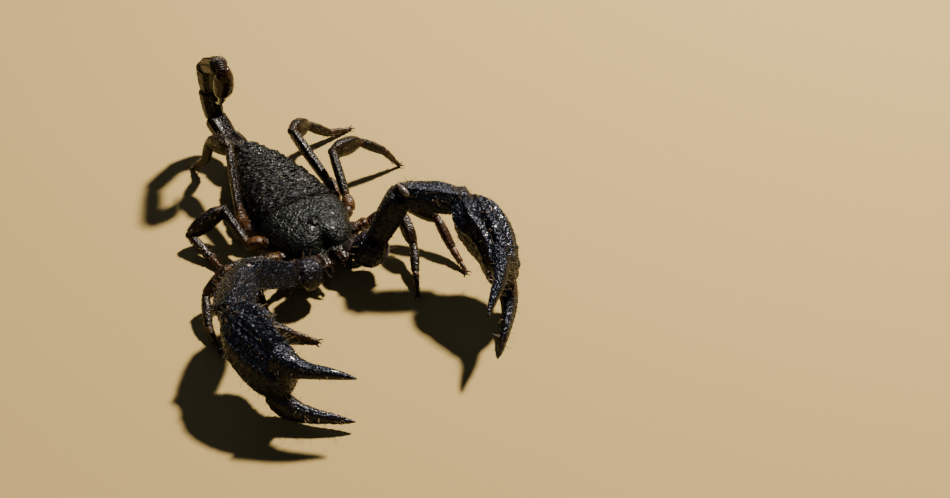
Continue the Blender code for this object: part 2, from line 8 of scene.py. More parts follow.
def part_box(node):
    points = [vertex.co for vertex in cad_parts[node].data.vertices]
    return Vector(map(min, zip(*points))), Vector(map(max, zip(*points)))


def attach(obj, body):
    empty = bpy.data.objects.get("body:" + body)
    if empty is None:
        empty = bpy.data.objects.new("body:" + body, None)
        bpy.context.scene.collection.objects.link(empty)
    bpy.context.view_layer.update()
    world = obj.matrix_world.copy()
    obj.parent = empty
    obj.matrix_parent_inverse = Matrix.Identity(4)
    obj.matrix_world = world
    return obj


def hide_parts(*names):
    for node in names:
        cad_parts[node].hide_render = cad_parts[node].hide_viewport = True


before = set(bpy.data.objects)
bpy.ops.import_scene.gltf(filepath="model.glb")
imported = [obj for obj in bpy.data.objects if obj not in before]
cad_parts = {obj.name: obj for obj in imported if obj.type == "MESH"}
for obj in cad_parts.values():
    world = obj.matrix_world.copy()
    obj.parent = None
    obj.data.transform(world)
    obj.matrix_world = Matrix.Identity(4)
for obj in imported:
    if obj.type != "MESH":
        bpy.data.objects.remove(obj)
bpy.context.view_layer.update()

mm = 0.001
low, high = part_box("head_shield")
rearOfShield = -5.2  # in the body's own frame the head faces -Y, and all lengths are in mm
bodyShift = np.array([(low[0] + high[0]) / 2 / mm, high[1] / mm - rearOfShield, 0.0])
unwrapCells = 12  # skins lie in a square of 12 by 12 cells in the unwrap that the bristles use
skinCount = 0
print("frame loaded, body shifted by", bodyShift.round(2))


# --- small helpers ---

def unit(way):
    return np.asarray(way, float) / np.linalg.norm(way)


def onSide(place, side):  # side: -1 for the right, 1 for the left
    return np.array(place) * (side, 1, 1)


def heading(turn, rise, side=1, back=False):  # degrees from straight ahead to the outside, and up
    turn, rise = math.radians(turn), math.radians(rise)
    ahead = 1 if back else -1
    x, y = side * math.sin(turn), ahead * math.cos(turn)
    return np.array([x * math.cos(rise), y * math.cos(rise), math.sin(rise)])


def upright(way, hint=(0, 0, 1)):  # the direction nearest the hint that is square to the limb
    way, hint = np.asarray(way, float), np.asarray(hint, float)
    return unit(hint - way * hint.dot(way))


def flow(rows, at):  # smooth values at places in a table of (place, value, ...) rows
    table = np.array(rows, float)
    x, y = table[:, 0], table[:, 1:]
    at = np.clip(np.atleast_1d(at), x[0], x[-1])
    slope = np.gradient(y, x, axis=0)
    i = np.clip(np.searchsorted(x, at) - 1, 0, len(x) - 2)
    width = (x[i + 1] - x[i])[:, None]
    t = (at[:, None] - x[i][:, None]) / width
    rise = (t**3 - 2 * t**2 + t) * width * slope[i] + (t**3 - t**2) * width * slope[i + 1]
    return (2 * t**3 - 3 * t**2 + 1) * y[i] + (3 * t**2 - 2 * t**3) * y[i + 1] + rise


def ridge(angle, at, width):  # 1 on a line that runs along the piece, fading to each side
    away = (angle - math.radians(at) + math.pi) % (2 * math.pi) - math.pi
    return np.exp(-((away / math.radians(width)) ** 2))


def ridges(angle, lines, width):
    return sum(ridge(angle, line, width) for line in lines)


def rolled(up, way, turn):  # the up direction turned about the limb
    turn = math.radians(turn)
    return up * math.cos(turn) + np.cross(way, up) * math.sin(turn)


def stretch(share, begin, end, soft=0.08):  # 1 between two places along the piece
    a = np.clip((share - begin) / soft, 0, 1)
    b = np.clip((end - share) / soft, 0, 1)
    return a * a * (3 - 2 * a) * b * b * (3 - 2 * b)


def spot(value, at, width):  # a soft hump
    return np.exp(-(((value - at) / width) ** 2))


def scaled(rows, half, tall=None):
    # rows of place and half width, then one height or two, in shares of a size
    tall = tall or half
    shapes = ((at, shares[0], shares[len(shares) // 2], shares[-1]) for at, *shares in rows)
    return [(at, half * wide, tall * above, tall * below) for at, wide, above, below in shapes]


def lumps(points, size, seed):  # gentle unevenness, about -1 to 1, with humps this far apart
    rng = np.random.default_rng(seed)
    total = 0
    for _ in range(7):
        way = unit(rng.normal(size=3)) * 2 * math.pi / size * rng.uniform(0.7, 1.4)
        total = total + np.sin(points @ way + rng.uniform(0, 6.28))
    return total / 7**0.5


def patches(amount, size, seed):  # a field of soft patches
    return lambda s, a, p: amount * np.clip(lumps(p, size, seed), 0, 1)


def within(amount, begin, end, soft=0.08):  # a field between two places along the piece
    return lambda s, a, p: amount * stretch(s, begin, end, soft)


def ends(first, begin, firstSoft, second, end, secondSoft):  # a field that is strong at both ends of a piece
    beyond = within(second, end, 2, secondSoft)
    return lambda s, a, p: first * (1 - stretch(s, begin, 2, firstSoft)) + beyond(s, a, p)


# --- skins: closed shells wrapped round rows of rounded sections ---

domeSteps = np.array([0.985, 0.90, 0.72, 0.46, 0.18])  # rows of points that round off each end
domeRows = len(domeSteps)
fieldNames = ("tint", "glaze", "grain", "hair")  # what each point of a skin says about its look


def wrap(centres, across, up, sizes, power=2.3, cols=32, caps=(0.6, 0.6), relief=None, fields=None,
    bend=None):
    global skinCount
    centres = np.asarray(centres, float)
    n = len(centres)
    across = np.broadcast_to(across, (n, 3))
    up = np.broadcast_to(up, (n, 3))
    sizes = np.broadcast_to(sizes, (n, 3))
    first = unit(centres[0] - centres[1])
    last = unit(centres[-1] - centres[-2])
    squeeze = np.sqrt(1 - domeSteps**2)
    rows = np.concatenate([np.zeros(domeRows, int), np.arange(n), np.full(domeRows, n - 1)])
    scale = np.concatenate([squeeze, np.ones(n), squeeze[::-1]])
    nose = centres[0] + first * caps[0] * domeSteps[:, None]
    end = centres[-1] + last * caps[1] * domeSteps[::-1][:, None]
    middle = np.concatenate([nose, centres, end])
    share = np.concatenate([np.zeros(domeRows), np.linspace(0, 1, n), np.ones(domeRows)])[:, None]
    angle = (2 * math.pi * (np.arange(cols) + 0.5) / cols)[None, :]
    c, s = np.cos(angle), np.sin(angle)
    x = np.sign(c) * np.abs(c) ** (2 / power) * (sizes[rows, 0] * scale)[:, None]
    heights = np.where(s > 0, sizes[rows, 1:2], sizes[rows, 2:3])
    y = np.sign(s) * np.abs(s) ** (2 / power) * heights * scale[:, None]
    points = middle[:, None] + across[rows][:, None] * x[..., None] + up[rows][:, None] * y[..., None]
    poles = np.array([centres[0] + first * caps[0], centres[-1] + last * caps[1]])
    if bend:
        points = bend(points)
        poles = bend(poles[:, None])[:, 0]
    if relief:
        alongWay = np.gradient(points, axis=0)
        roundWay = np.roll(points, -1, 1) - np.roll(points, 1, 1)
        normal = np.cross(roundWay, alongWay)
        normal /= np.linalg.norm(normal, axis=2, keepdims=True) + 1e-9
        outward = np.sum(normal * (points - points.mean(1, keepdims=True)), axis=2).mean()
        depth = np.broadcast_to(relief(share, angle, points), points.shape[:2])
        depth = depth * np.minimum(1, scale * 1.2)[:, None]  # none at the poles
        points = points + normal * (depth * np.sign(outward))[..., None]
    total = len(rows) * cols
    ring = np.arange(total).reshape(len(rows), cols)
    beside = np.roll(ring, -1, 1)
    quads = np.stack([ring[:-1], beside[:-1], beside[1:], ring[1:]], -1).reshape(-1, 4).tolist()
    fans = [[total, b, a] for a, b in zip(ring[0], beside[0])]
    fans += [[total + 1, a, b] for a, b in zip(ring[-1], beside[-1])]
    everyPoint = np.concatenate([points.reshape(-1, 3), poles])
    a, b, c, d = (everyPoint - everyPoint.mean(0))[np.array(quads).T]
    volume = np.sum(a * np.cross(b, c)) + np.sum(a * np.cross(c, d))  # below zero when the faces look inward
    faces = quads + [[int(v) for v in f] for f in fans]
    if volume < 0:
        faces = [f[::-1] for f in faces]
    values = {}
    for name in fieldNames:
        value = (fields or {}).get(name, 0.0)
        value = value(share, angle, points) if callable(value) else value
        value = np.broadcast_to(value, points.shape[:2]).astype(float)
        values[name] = np.concatenate([value.ravel(), [value[0].mean(), value[-1].mean()]])
    cell = np.array([skinCount % unwrapCells, skinCount // unwrapCells % unwrapCells])
    skinCount += 1
    along, around = np.linspace(0.05, 0.95, len(rows))[:, None], angle / 2 / math.pi * 0.9 + 0.05
    spread = np.stack(np.broadcast_arrays(along, around), -1)
    unwrap = np.concatenate([spread.reshape(-1, 2), [[0.03, 0.5], [0.97, 0.5]]])
    values["skinUv"] = (unwrap + cell) / unwrapCells
    lie = np.broadcast_to(np.gradient(middle, axis=0)[:, None], points.shape)
    values["lie"] = np.concatenate([lie.reshape(-1, 3), [-first, last]])
    return {"points": everyPoint, "faces": faces, "values": values, "grid": points}


def trunkSkin(y, z, half, above, below, *more):  # a skin along the body's middle line
    count = len(y)
    centres = np.column_stack([np.zeros(count), y, np.full(count, z)])
    sizes = np.column_stack([np.broadcast_to(size, count) for size in (half, above, below)])
    return wrap(centres, (1, 0, 0), (0, 0, 1), sizes, *more)


def alongSkin(shell, line, begin, end, steps=40):
    # a path on a skin at one angle, between two shares of its length
    grid = shell["grid"][domeRows:-domeRows]
    rows, cols = grid.shape[:2]
    at = np.linspace(begin, end, steps) * (rows - 1)
    column = np.broadcast_to(line, steps) / 360 * cols - 0.5
    row = np.minimum(at.astype(int), rows - 2)
    left = np.floor(column).astype(int)
    part, share = (at - row)[:, None], (column - left)[:, None]
    near = grid[row, left % cols] * (1 - share) + grid[row, (left + 1) % cols] * share
    far = grid[row + 1, left % cols] * (1 - share) + grid[row + 1, (left + 1) % cols] * share
    return near * (1 - part) + far * part


def limb(start, way, length, sections, up=None, power=2.3, cols=28, rows=40, **more):
    # sections: share of the length, half width, height above and below
    up = upright(way) if up is None else up
    at = np.linspace(sections[0][0], sections[-1][0], rows)
    return wrap(start + np.outer(at * length, way), np.cross(way, up), up, flow(sections, at), power, cols,
        **more)


def blob(centre, way, up, radii, cols=20, rows=9, **more):
    # an egg shape; radii: along its way, across and upward
    at = np.linspace(-0.8, 0.8, rows)
    girth = np.sqrt(1 - at**2)
    sizes = np.stack([girth * radii[1], girth * radii[2], girth * radii[2]], 1)
    centres, caps = np.asarray(centre) + np.outer(at * radii[0], way), (radii[0] * 0.2,) * 2
    return wrap(centres, unit(np.cross(way, up)), upright(way, up), sizes, 2, cols, caps, **more)


def innerSide(first, second):  # the way that a joint folds
    fold = second - first
    return unit(fold) if np.linalg.norm(fold) > 0.25 else -upright(unit(first + second))


def foldSkin(place, first, second, size, reach=1.4):  # soft skin on the inner side of a joint
    meet, inner = unit(first + second), innerSide(first, second)
    sections = scaled(((-0.5, 0.68, 0.72), (0, 0.76, 0.80), (0.5, 0.68, 0.72)), size)
    folds = lambda s, a, p: 0.07 * np.sin(s * 30)
    fields = {"tint": patches(0.4, 1.2, 3), "glaze": lambda s, a, p: 0.8 * spot(np.sin(a), 1, 0.8)}
    start = place + inner * size * 0.36
    return limb(start, meet, size * reach, sections, upright(meet, -inner), 2.2, 36, 24, caps=(0.2, 0.2),
        relief=folds, fields=fields)


def jointBall(place, first, second, size, **more):  # horny knuckle on the outer side of a joint
    meet, inner = unit(first + second), innerSide(first, second)
    return blob(place - inner * size * 0.12, meet, -inner, (size * 0.95, size * 0.93, size * 0.90), 32, 15,
        **more)


def horn(path, radii, cols=10, rows=14, fields=None):  # a curved spike through points
    steps = np.linspace(0, 1, len(path))
    at = np.linspace(0, 1, rows)
    centres = flow([(t, *p) for t, p in zip(steps, path)], at)
    girth = flow([(t, r) for t, r in zip(steps, radii)], at)[:, 0]
    ways = np.gradient(centres, axis=0)
    ways /= np.linalg.norm(ways, axis=1, keepdims=True)
    hint = np.cross(ways[0], ways[-1])
    hint = hint if np.linalg.norm(hint) > 0.05 else np.cross(ways[0], (0.3, 0.2, 0.9))
    up = np.array([upright(w, hint) for w in ways])
    across = np.cross(ways, up)
    return wrap(centres, across, up, np.stack([girth] * 3, 1), 2, cols, (radii[0] * 0.5, radii[-1]), None,
        fields)


def newObject(name, data):
    thing = bpy.data.objects.new(name, data)
    bpy.context.scene.collection.objects.link(thing)
    return thing


def store(data, name, kind, values):  # kind: value for numbers, vector for vectors
    given = {"value": "FLOAT", "vector": "FLOAT_VECTOR"}[kind]
    data.attributes.new(name, given, "POINT").data.foreach_set(kind, np.ravel(values))


def inFrame(points):  # from the body's own frame in mm to metres in the shared frame
    return ((np.asarray(points) + bodyShift) * mm).tolist()


def makePiece(name, shells, material):
    points = np.concatenate([s["points"] for s in shells])
    points[:, 2] = np.maximum(points[:, 2], 0.0)  # nothing sinks into the floor
    faces, base = [], 0
    for shell in shells:
        faces += [[v + base for v in f] for f in shell["faces"]]
        base += len(shell["points"])
    data = bpy.data.meshes.new(name)
    data.from_pydata(inFrame(points), [], faces)
    data.polygons.foreach_set("use_smooth", [True] * len(faces))
    joined = {field: np.concatenate([s["values"][field] for s in shells])
        for field in (*fieldNames, "lie", "skinUv")}
    for field in fieldNames:
        store(data, field, "value", joined[field])
    lie = joined["lie"]
    store(data, "lie", "vector", lie / (np.linalg.norm(lie, axis=1, keepdims=True) + 1e-9))
    store(data, "skinUv", "vector", np.column_stack([joined["skinUv"], np.zeros(len(points))]))
    data.materials.append(material)
    data.validate()
    return newObject(name, data)


def fit(piece, slotName, *nodes):  # gives a finished piece to the frame
    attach(piece, "root")
    if nodes:
        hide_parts(*nodes)


# --- materials ---

def toLinear(colour):
    parts = [int(colour[i : i + 2], 16) / 255 for i in (1, 3, 5)]
    return (*[c / 12.92 if c <= 0.04045 else ((c + 0.055) / 1.055) ** 2.4 for c in parts], 1.0)


def addNode(tree, kind, settings=None, links=None):
    node = tree.nodes.new(kind)
    for key, value in (settings or {}).items():
        if isinstance(key, str) and key not in node.inputs:
            setattr(node, key, value)
        else:
            node.inputs[key].default_value = value
    for key, socket in (links or {}).items():
        tree.links.new(socket, node.inputs[key])
    return node


def chitin(name, look):  # horny shell: two mottled tones, two tints that the skin places, grain and gloss
    material = bpy.data.materials.new(name)
    material.use_nodes = True
    tree = material.node_tree
    shader = tree.nodes["Principled BSDF"]
    place = addNode(tree, "ShaderNodeTexCoord").outputs["Object"]

    def texture(kind, size, given=None, at=place):  # size: how far apart its features lie, in mm
        return addNode(tree, kind, {"Scale": 1 / (size * mm), **(given or {})}, {"Vector": at}).outputs

    def spread(value, low, high, first=0.0, last=1.0):
        given = {"From Min": low, "From Max": high, "To Min": first, "To Max": last}
        return addNode(tree, "ShaderNodeMapRange", given, {"Value": value}).outputs[0]

    def paint(under, amount, over):
        given = {"data_type": "RGBA", 7: toLinear(over)}
        return addNode(tree, "ShaderNodeMix", given, {0: amount, 6: under}).outputs[2]

    mottle = spread(texture("ShaderNodeTexNoise", look["mottle"], {"Detail": 5.0, "Roughness": 0.6})[0],
        0.36, 0.66)
    tones = {"data_type": "RGBA", 6: toLinear(look["deep"]), 7: toLinear(look["light"])}
    colour = addNode(tree, "ShaderNodeMix", tones, {0: mottle}).outputs[2]
    for field in ("tint", "glaze"):
        if field in look:
            amount = addNode(tree, "ShaderNodeAttribute", {"attribute_name": field}).outputs["Fac"]
            colour = paint(colour, amount, look[field])
    if "speck" in look:  # pale specks, one in a few cells: partly grit and worn grain tips, partly painted glints standing in for the sparkle of lit grains
        gritAndGlintCells = texture("ShaderNodeTexVoronoi", look["speckCell"], {"Randomness": 1.0})
        dot = spread(gritAndGlintCells["Distance"], 0.10, 0.30, 1.0, 0.0)
        chance = addNode(tree, "ShaderNodeSeparateColor", {}, {0: gritAndGlintCells["Color"]})
        chosen = spread(chance.outputs[0], look["speckRare"], 1.0)
        amount = addNode(tree, "ShaderNodeMath", {"operation": "MULTIPLY"}, {0: dot, 1: chosen}).outputs[0]
        colour = paint(colour, amount, look["speck"])
    tree.links.new(colour, shader.inputs["Base Color"])
    grainPlace = addNode(tree, "ShaderNodeMapping", {"Scale": look.get("stretch", (1, 1, 1))},
        {"Vector": place})
    cells = texture("ShaderNodeTexVoronoi", look["cell"], None, grainPlace.outputs[0])["Distance"]
    fine = texture("ShaderNodeTexNoise", look["fine"], {"Detail": 3.0})[0]
    wear = addNode(tree, "ShaderNodeMath", {"operation": "ADD"}, {0: cells, 1: fine})
    tree.links.new(spread(wear.outputs[0], 0.5, 1.2, *look["gloss"]), shader.inputs["Roughness"])
    domes = {"operation": "MULTIPLY_ADD", 1: -look["cellDepth"]}
    dome = addNode(tree, "ShaderNodeMath", domes, {0: cells, 2: fine})
    bump = addNode(tree, "ShaderNodeBump", {"Strength": look["bump"], "Distance": 0.1 * mm},
        {"Height": dome.outputs[0]})
    tree.links.new(bump.outputs[0], shader.inputs["Normal"])
    for label, value in (
        ("IOR", 1.56),
        ("Specular IOR Level", look.get("spec", 0.5)),
        ("Coat Weight", look.get("coat", 0.0)),
        ("Coat Roughness", look.get("coatRough", 0.15)),
        ("Specular Tint", toLinear(look.get("shine", "#ffffff"))),
        ("Subsurface Weight", look.get("soft", 0.0)),
        ("Subsurface Scale", 0.8 * mm),
    ):
        shader.inputs[label].default_value = value
    return material


# Chitin is a horny plastic-like skin: index about 1.56, dark, with a waxy gloss broken up by grains.
# Each speck colour below paints pale specks: partly grit and worn grain tips, partly painted glints of lit
# grains.
looks = {
    "grainedShieldChitin": {"deep": "#030403", "light": "#090b07", "tint": "#110e09", "glaze": "#20251d",
        "speck": "#66654f", "speckCell": 0.7, "speckRare": 0.62, "mottle": 2.2, "cell": 0.66,
        "cellDepth": 3.0, "fine": 0.16, "bump": 0.85, "gloss": (0.12, 0.36), "spec": 0.12, "coat": 0.05,
        "shine": "#f0f5ff"},
    "grainedBackChitin": {"deep": "#030303", "light": "#0a0907", "tint": "#19130d", "glaze": "#14140f",
        "speck": "#6f6a50", "speckCell": 0.7, "speckRare": 0.55, "mottle": 1.8, "cell": 0.62,
        "stretch": (0.55, 1.3, 1), "cellDepth": 3.2, "fine": 0.16, "bump": 0.9, "gloss": (0.14, 0.38),
        "spec": 0.11, "coat": 0.05, "shine": "#f4f7ff"},
    "foldedFlankSkin": {"deep": "#0c0703", "light": "#1b1109", "tint": "#473824", "glaze": "#060403",
        "mottle": 1.2, "cell": 0.25, "cellDepth": 0.8, "fine": 0.1, "bump": 0.5, "gloss": (0.38, 0.6),
        "spec": 0.15, "soft": 0.08},
    "smoothBellyChitin": {"deep": "#0d0704", "light": "#1a0f08", "tint": "#331e0d", "glaze": "#060302",
        "mottle": 2.5, "cell": 0.5, "cellDepth": 0.5, "fine": 0.2, "bump": 0.3, "gloss": (0.25, 0.45),
        "spec": 0.20, "coat": 0.1},
    "blueBlackArmChitin": {"deep": "#020305", "light": "#06080c", "tint": "#120805", "glaze": "#0f1420",
        "speck": "#79879c", "speckCell": 0.8, "speckRare": 0.76, "mottle": 1.6, "cell": 0.62,
        "cellDepth": 3.0, "fine": 0.16, "bump": 0.85, "gloss": (0.10, 0.32), "spec": 0.20, "coat": 0.12,
        "coatRough": 0.1, "shine": "#d2ddff"},
    "brownFingerChitin": {"deep": "#020203", "light": "#080808", "tint": "#1d0d07", "glaze": "#10151c",
        "speck": "#6c7684", "speckCell": 0.8, "speckRare": 0.7, "mottle": 1.6, "cell": 0.5, "cellDepth": 2.0,
        "fine": 0.14, "bump": 0.6, "gloss": (0.12, 0.32), "spec": 0.23, "coat": 0.15, "shine": "#d8e0ff"},
    "brownJawChitin": {"deep": "#080402", "light": "#120804", "tint": "#060302", "glaze": "#33170b",
        "mottle": 1.2, "cell": 0.4, "cellDepth": 0.8, "fine": 0.12, "bump": 0.35, "gloss": (0.18, 0.36),
        "spec": 0.14, "coat": 0.05},
    "redBrownLegChitin": {"deep": "#090402", "light": "#140a05", "tint": "#4a3014", "glaze": "#050302",
        "speck": "#6a5a44", "speckCell": 0.6, "speckRare": 0.6, "mottle": 1.5, "cell": 0.5, "cellDepth": 2.2,
        "fine": 0.14, "bump": 0.65, "gloss": (0.14, 0.34), "spec": 0.16, "coat": 0.06, "coatRough": 0.12},
    "amberShinChitin": {"deep": "#1c0e05", "light": "#331b0a", "tint": "#54381a", "glaze": "#120803",
        "mottle": 1.4, "cell": 0.3, "cellDepth": 1.0, "fine": 0.12, "bump": 0.35, "gloss": (0.2, 0.42),
        "spec": 0.16, "coat": 0.1, "soft": 0.1},
    # The tail's glaze colour is the pale grey of the far-end rims and of the painted highlight on the last
    # segment's end.
    "ridgedTailChitin": {"deep": "#050302", "light": "#0e0805", "tint": "#1a1009", "glaze": "#2b2621",
        "speck": "#7d6f5b", "speckCell": 0.6, "speckRare": 0.68, "mottle": 1.6, "cell": 0.5,
        "cellDepth": 2.2, "fine": 0.14, "bump": 0.7, "gloss": (0.16, 0.38), "spec": 0.10, "coat": 0.08},
    "glossyBulbChitin": {"deep": "#100402", "light": "#1b0804", "tint": "#2a130a", "glaze": "#060302",
        "mottle": 2.0, "cell": 0.6, "cellDepth": 0.4, "fine": 0.2, "bump": 0.2, "gloss": (0.14, 0.28),
        "spec": 0.18, "coat": 0.2, "coatRough": 0.1, "soft": 0.03},
    "darkStingHorn": {"deep": "#060302", "light": "#120804", "mottle": 1.0, "cell": 0.4, "cellDepth": 0.3,
        "fine": 0.15, "bump": 0.15, "gloss": (0.12, 0.25), "coat": 0.3},
    "softCombSkin": {"deep": "#6e5434", "light": "#94794f", "mottle": 0.8, "cell": 0.25, "cellDepth": 0.6,
        "fine": 0.1, "bump": 0.3, "gloss": (0.4, 0.6), "soft": 0.15},
    "polishedEyeLens": {"deep": "#020202", "light": "#070605", "mottle": 1.0, "cell": 2.0, "cellDepth": 0.0,
        "fine": 2.0, "bump": 0.02, "gloss": (0.04, 0.08), "coat": 1.0, "coatRough": 0.03},
    "amberJointSkin": {"deep": "#221004", "light": "#33200c", "tint": "#4b3314", "glaze": "#120803",
        "mottle": 0.9, "cell": 0.22, "cellDepth": 1.2, "fine": 0.09, "bump": 0.5, "gloss": (0.24, 0.45),
        "spec": 0.18, "coat": 0.1, "soft": 0.12},
    "darkJointSkin": {"deep": "#0a0503", "light": "#180d06", "tint": "#2a190c", "mottle": 0.9, "cell": 0.22,
        "cellDepth": 1.2, "fine": 0.09, "bump": 0.5, "gloss": (0.3, 0.5), "spec": 0.18, "coat": 0.05},
    # Pale grey of the arms' hinge knobs and rims: pale joint parts, and along the rims a painted highlight.
    "paleJointKnob": {"deep": "#3b3431", "light": "#6d625e", "mottle": 1.0, "cell": 0.5, "cellDepth": 0.3,
        "fine": 0.2, "bump": 0.15, "gloss": (0.16, 0.3), "spec": 0.45, "coat": 0.3, "soft": 0.08},
    "stiffBristle": {"deep": "#4a3826", "light": "#9c8662", "mottle": 2.0, "cell": 1.0, "cellDepth": 0.0,
        "fine": 1.0, "bump": 0.02, "gloss": (0.3, 0.4)},
}
finish = {name: chitin(name, look) for name, look in looks.items()}
print("materials made:", len(finish))


# --- geometry node trees for what repeats: grains, bristles and beads ---

def newTree(name, inputs):
    tree = bpy.data.node_groups.new(name, "GeometryNodeTree")
    tree.interface.new_socket("Geometry", in_out="INPUT", socket_type="NodeSocketGeometry")
    for label, kind in inputs:
        tree.interface.new_socket(label, in_out="INPUT", socket_type="NodeSocket" + kind)
    tree.interface.new_socket("Geometry", in_out="OUTPUT", socket_type="NodeSocketGeometry")
    return tree, addNode(tree, "NodeGroupInput").outputs


def readField(tree, name, kind="FLOAT"):
    return addNode(tree, "GeometryNodeInputNamedAttribute", {"data_type": kind, "Name": name}).outputs[0]


def anySize(tree, given, low, high):  # a random size between two inputs
    links = {2: given[low], 3: given[high], "Seed": given["Seed"]}
    return addNode(tree, "FunctionNodeRandomValue", {"data_type": "FLOAT"}, links).outputs[1]


def multiply(tree, first, second):
    return addNode(tree, "ShaderNodeMath", {"operation": "MULTIPLY"}, {0: first, 1: second}).outputs[0]


def combine(tree, operation, first, second):  # adds two vectors, or scales one
    links = {0: first, "Scale" if operation == "SCALE" else 1: second}
    return addNode(tree, "ShaderNodeVectorMath", {"operation": operation}, links).outputs[0]


def instances(tree, points, shape, links):
    given = {"Points": points, "Instance": shape, **links}
    return addNode(tree, "GeometryNodeInstanceOnPoints", {}, given).outputs[0]


def ending(tree, given, shape, smooth=True):  # the material and the tree's output
    if smooth:
        real = addNode(tree, "GeometryNodeRealizeInstances", {}, {0: shape})
        shape = addNode(tree, "GeometryNodeSetShadeSmooth", {}, {"Geometry": real.outputs[0]}).outputs[0]
    done = addNode(tree, "GeometryNodeSetMaterial", {}, {"Geometry": shape, "Material": given["Material"]})
    addNode(tree, "NodeGroupOutput", {}, {0: done.outputs[0]})
    return tree


def makeGrainTree():
    numbers = [(label, "Float") for label in ("Density", "Spacing", "Smallest", "Largest", "Height")]
    tree, given = newTree("grains", [*numbers, ("Seed", "Int"), ("Material", "Material")])
    points = addNode(tree, "GeometryNodeDistributePointsOnFaces", {"distribute_method": "POISSON"}, {
        "Mesh": given["Geometry"], "Distance Min": given["Spacing"], "Density Max": given["Density"],
        "Density Factor": readField(tree, "grain"), "Seed": given["Seed"]}).outputs
    size = anySize(tree, given, "Smallest", "Largest")  # a grain's radius
    tall = multiply(tree, size, given["Height"])
    scale = addNode(tree, "ShaderNodeCombineXYZ", {}, {0: size, 1: size, 2: tall}).outputs[0]
    bead = addNode(tree, "GeometryNodeMeshIcoSphere", {"Radius": 1.0, "Subdivisions": 1}).outputs[0]
    placed = instances(tree, points["Points"], bead, {"Rotation": points["Rotation"], "Scale": scale})
    both = addNode(tree, "GeometryNodeJoinGeometry")
    for part in (placed, given["Geometry"]):
        tree.links.new(part, both.inputs[0])
    return ending(tree, given, both.outputs[0])


def makeBristleTree():
    numbers = [(label, "Float") for label in ("Density", "Shortest", "Longest", "Lean")]
    tree, given = newTree("bristles",
        [("Bristle", "Object"), *numbers, ("Seed", "Int"), ("Material", "Material")])
    density = multiply(tree, readField(tree, "hair"), given["Density"])
    points = addNode(tree, "GeometryNodeDistributePointsOnFaces", {"distribute_method": "RANDOM"}, {
        "Mesh": given["Geometry"], "Density": density, "Seed": given["Seed"]}).outputs
    leaning = combine(tree, "SCALE", readField(tree, "lie", "FLOAT_VECTOR"), given["Lean"])
    sway = {"data_type": "FLOAT_VECTOR", 0: (-0.35, -0.35, -0.35), 1: (0.35, 0.35, 0.35)}
    stray = addNode(tree, "FunctionNodeRandomValue", sway, {"Seed": given["Seed"]}).outputs[0]
    way = combine(tree, "ADD", combine(tree, "ADD", points["Normal"], leaning), stray)
    turned = addNode(tree, "FunctionNodeAlignRotationToVector", {"axis": "Z"}, {"Vector": way}).outputs[0]
    size = anySize(tree, given, "Shortest", "Longest")
    pattern = addNode(tree, "GeometryNodeObjectInfo", {}, {"Object": given["Bristle"]}).outputs["Geometry"]
    placed = instances(tree, points["Points"], pattern, {"Rotation": turned, "Scale": size})
    real = addNode(tree, "GeometryNodeRealizeInstances", {}, {0: placed}).outputs[0]
    root, patch = (readField(tree, name, "FLOAT_VECTOR") for name in ("skinUv", "patch"))
    stored = addNode(tree, "GeometryNodeStoreNamedAttribute", {
        "data_type": "FLOAT2", "domain": "CORNER", "Name": "OFBake"}, {
        "Geometry": real, "Value": combine(tree, "ADD", root, patch)}).outputs[0]
    return ending(tree, given, stored, False)


def makeBeadTree():
    tree, given = newTree("beads",
        [("Spacing", "Float"), ("Shape", "Vector"), ("Seed", "Int"), ("Material", "Material")])
    line = addNode(tree, "GeometryNodeMeshToCurve", {}, {"Mesh": given["Geometry"]}).outputs[0]
    links = {"Curve": line, "Length": given["Spacing"]}
    steps = addNode(tree, "GeometryNodeResampleCurve", {"mode": "LENGTH"}, links).outputs[0]
    sizes = {"data_type": "FLOAT", 2: 0.75, 3: 1.25}
    vary = addNode(tree, "FunctionNodeRandomValue", sizes, {"Seed": given["Seed"]}).outputs[1]
    scale = combine(tree, "SCALE", given["Shape"], multiply(tree, readField(tree, "size"), vary))
    bead = addNode(tree, "GeometryNodeMeshIcoSphere", {"Radius": 1.0, "Subdivisions": 2}).outputs[0]
    return ending(tree, given, instances(tree, steps, bead, {"Scale": scale}))


def evaluated(piece, keepLayers=False):  # the mesh that the piece's modifiers make
    graph = bpy.context.evaluated_depsgraph_get()
    made = piece.evaluated_get(graph)
    return bpy.data.meshes.new_from_object(made, preserve_all_data_layers=keepLayers, depsgraph=graph)


def runTree(piece, tree, values):  # replaces the piece's mesh by what the tree makes of it
    modifier = piece.modifiers.new(tree.name, "NODES")
    modifier.node_group = tree
    for item in tree.interface.items_tree:
        if item.in_out == "INPUT" and item.name in values:
            modifier[item.identifier] = values[item.name]
    mesh = evaluated(piece, True)
    piece.modifiers.remove(modifier)
    old = piece.data
    piece.data = mesh
    bpy.data.meshes.remove(old)
    mesh.name = piece.name


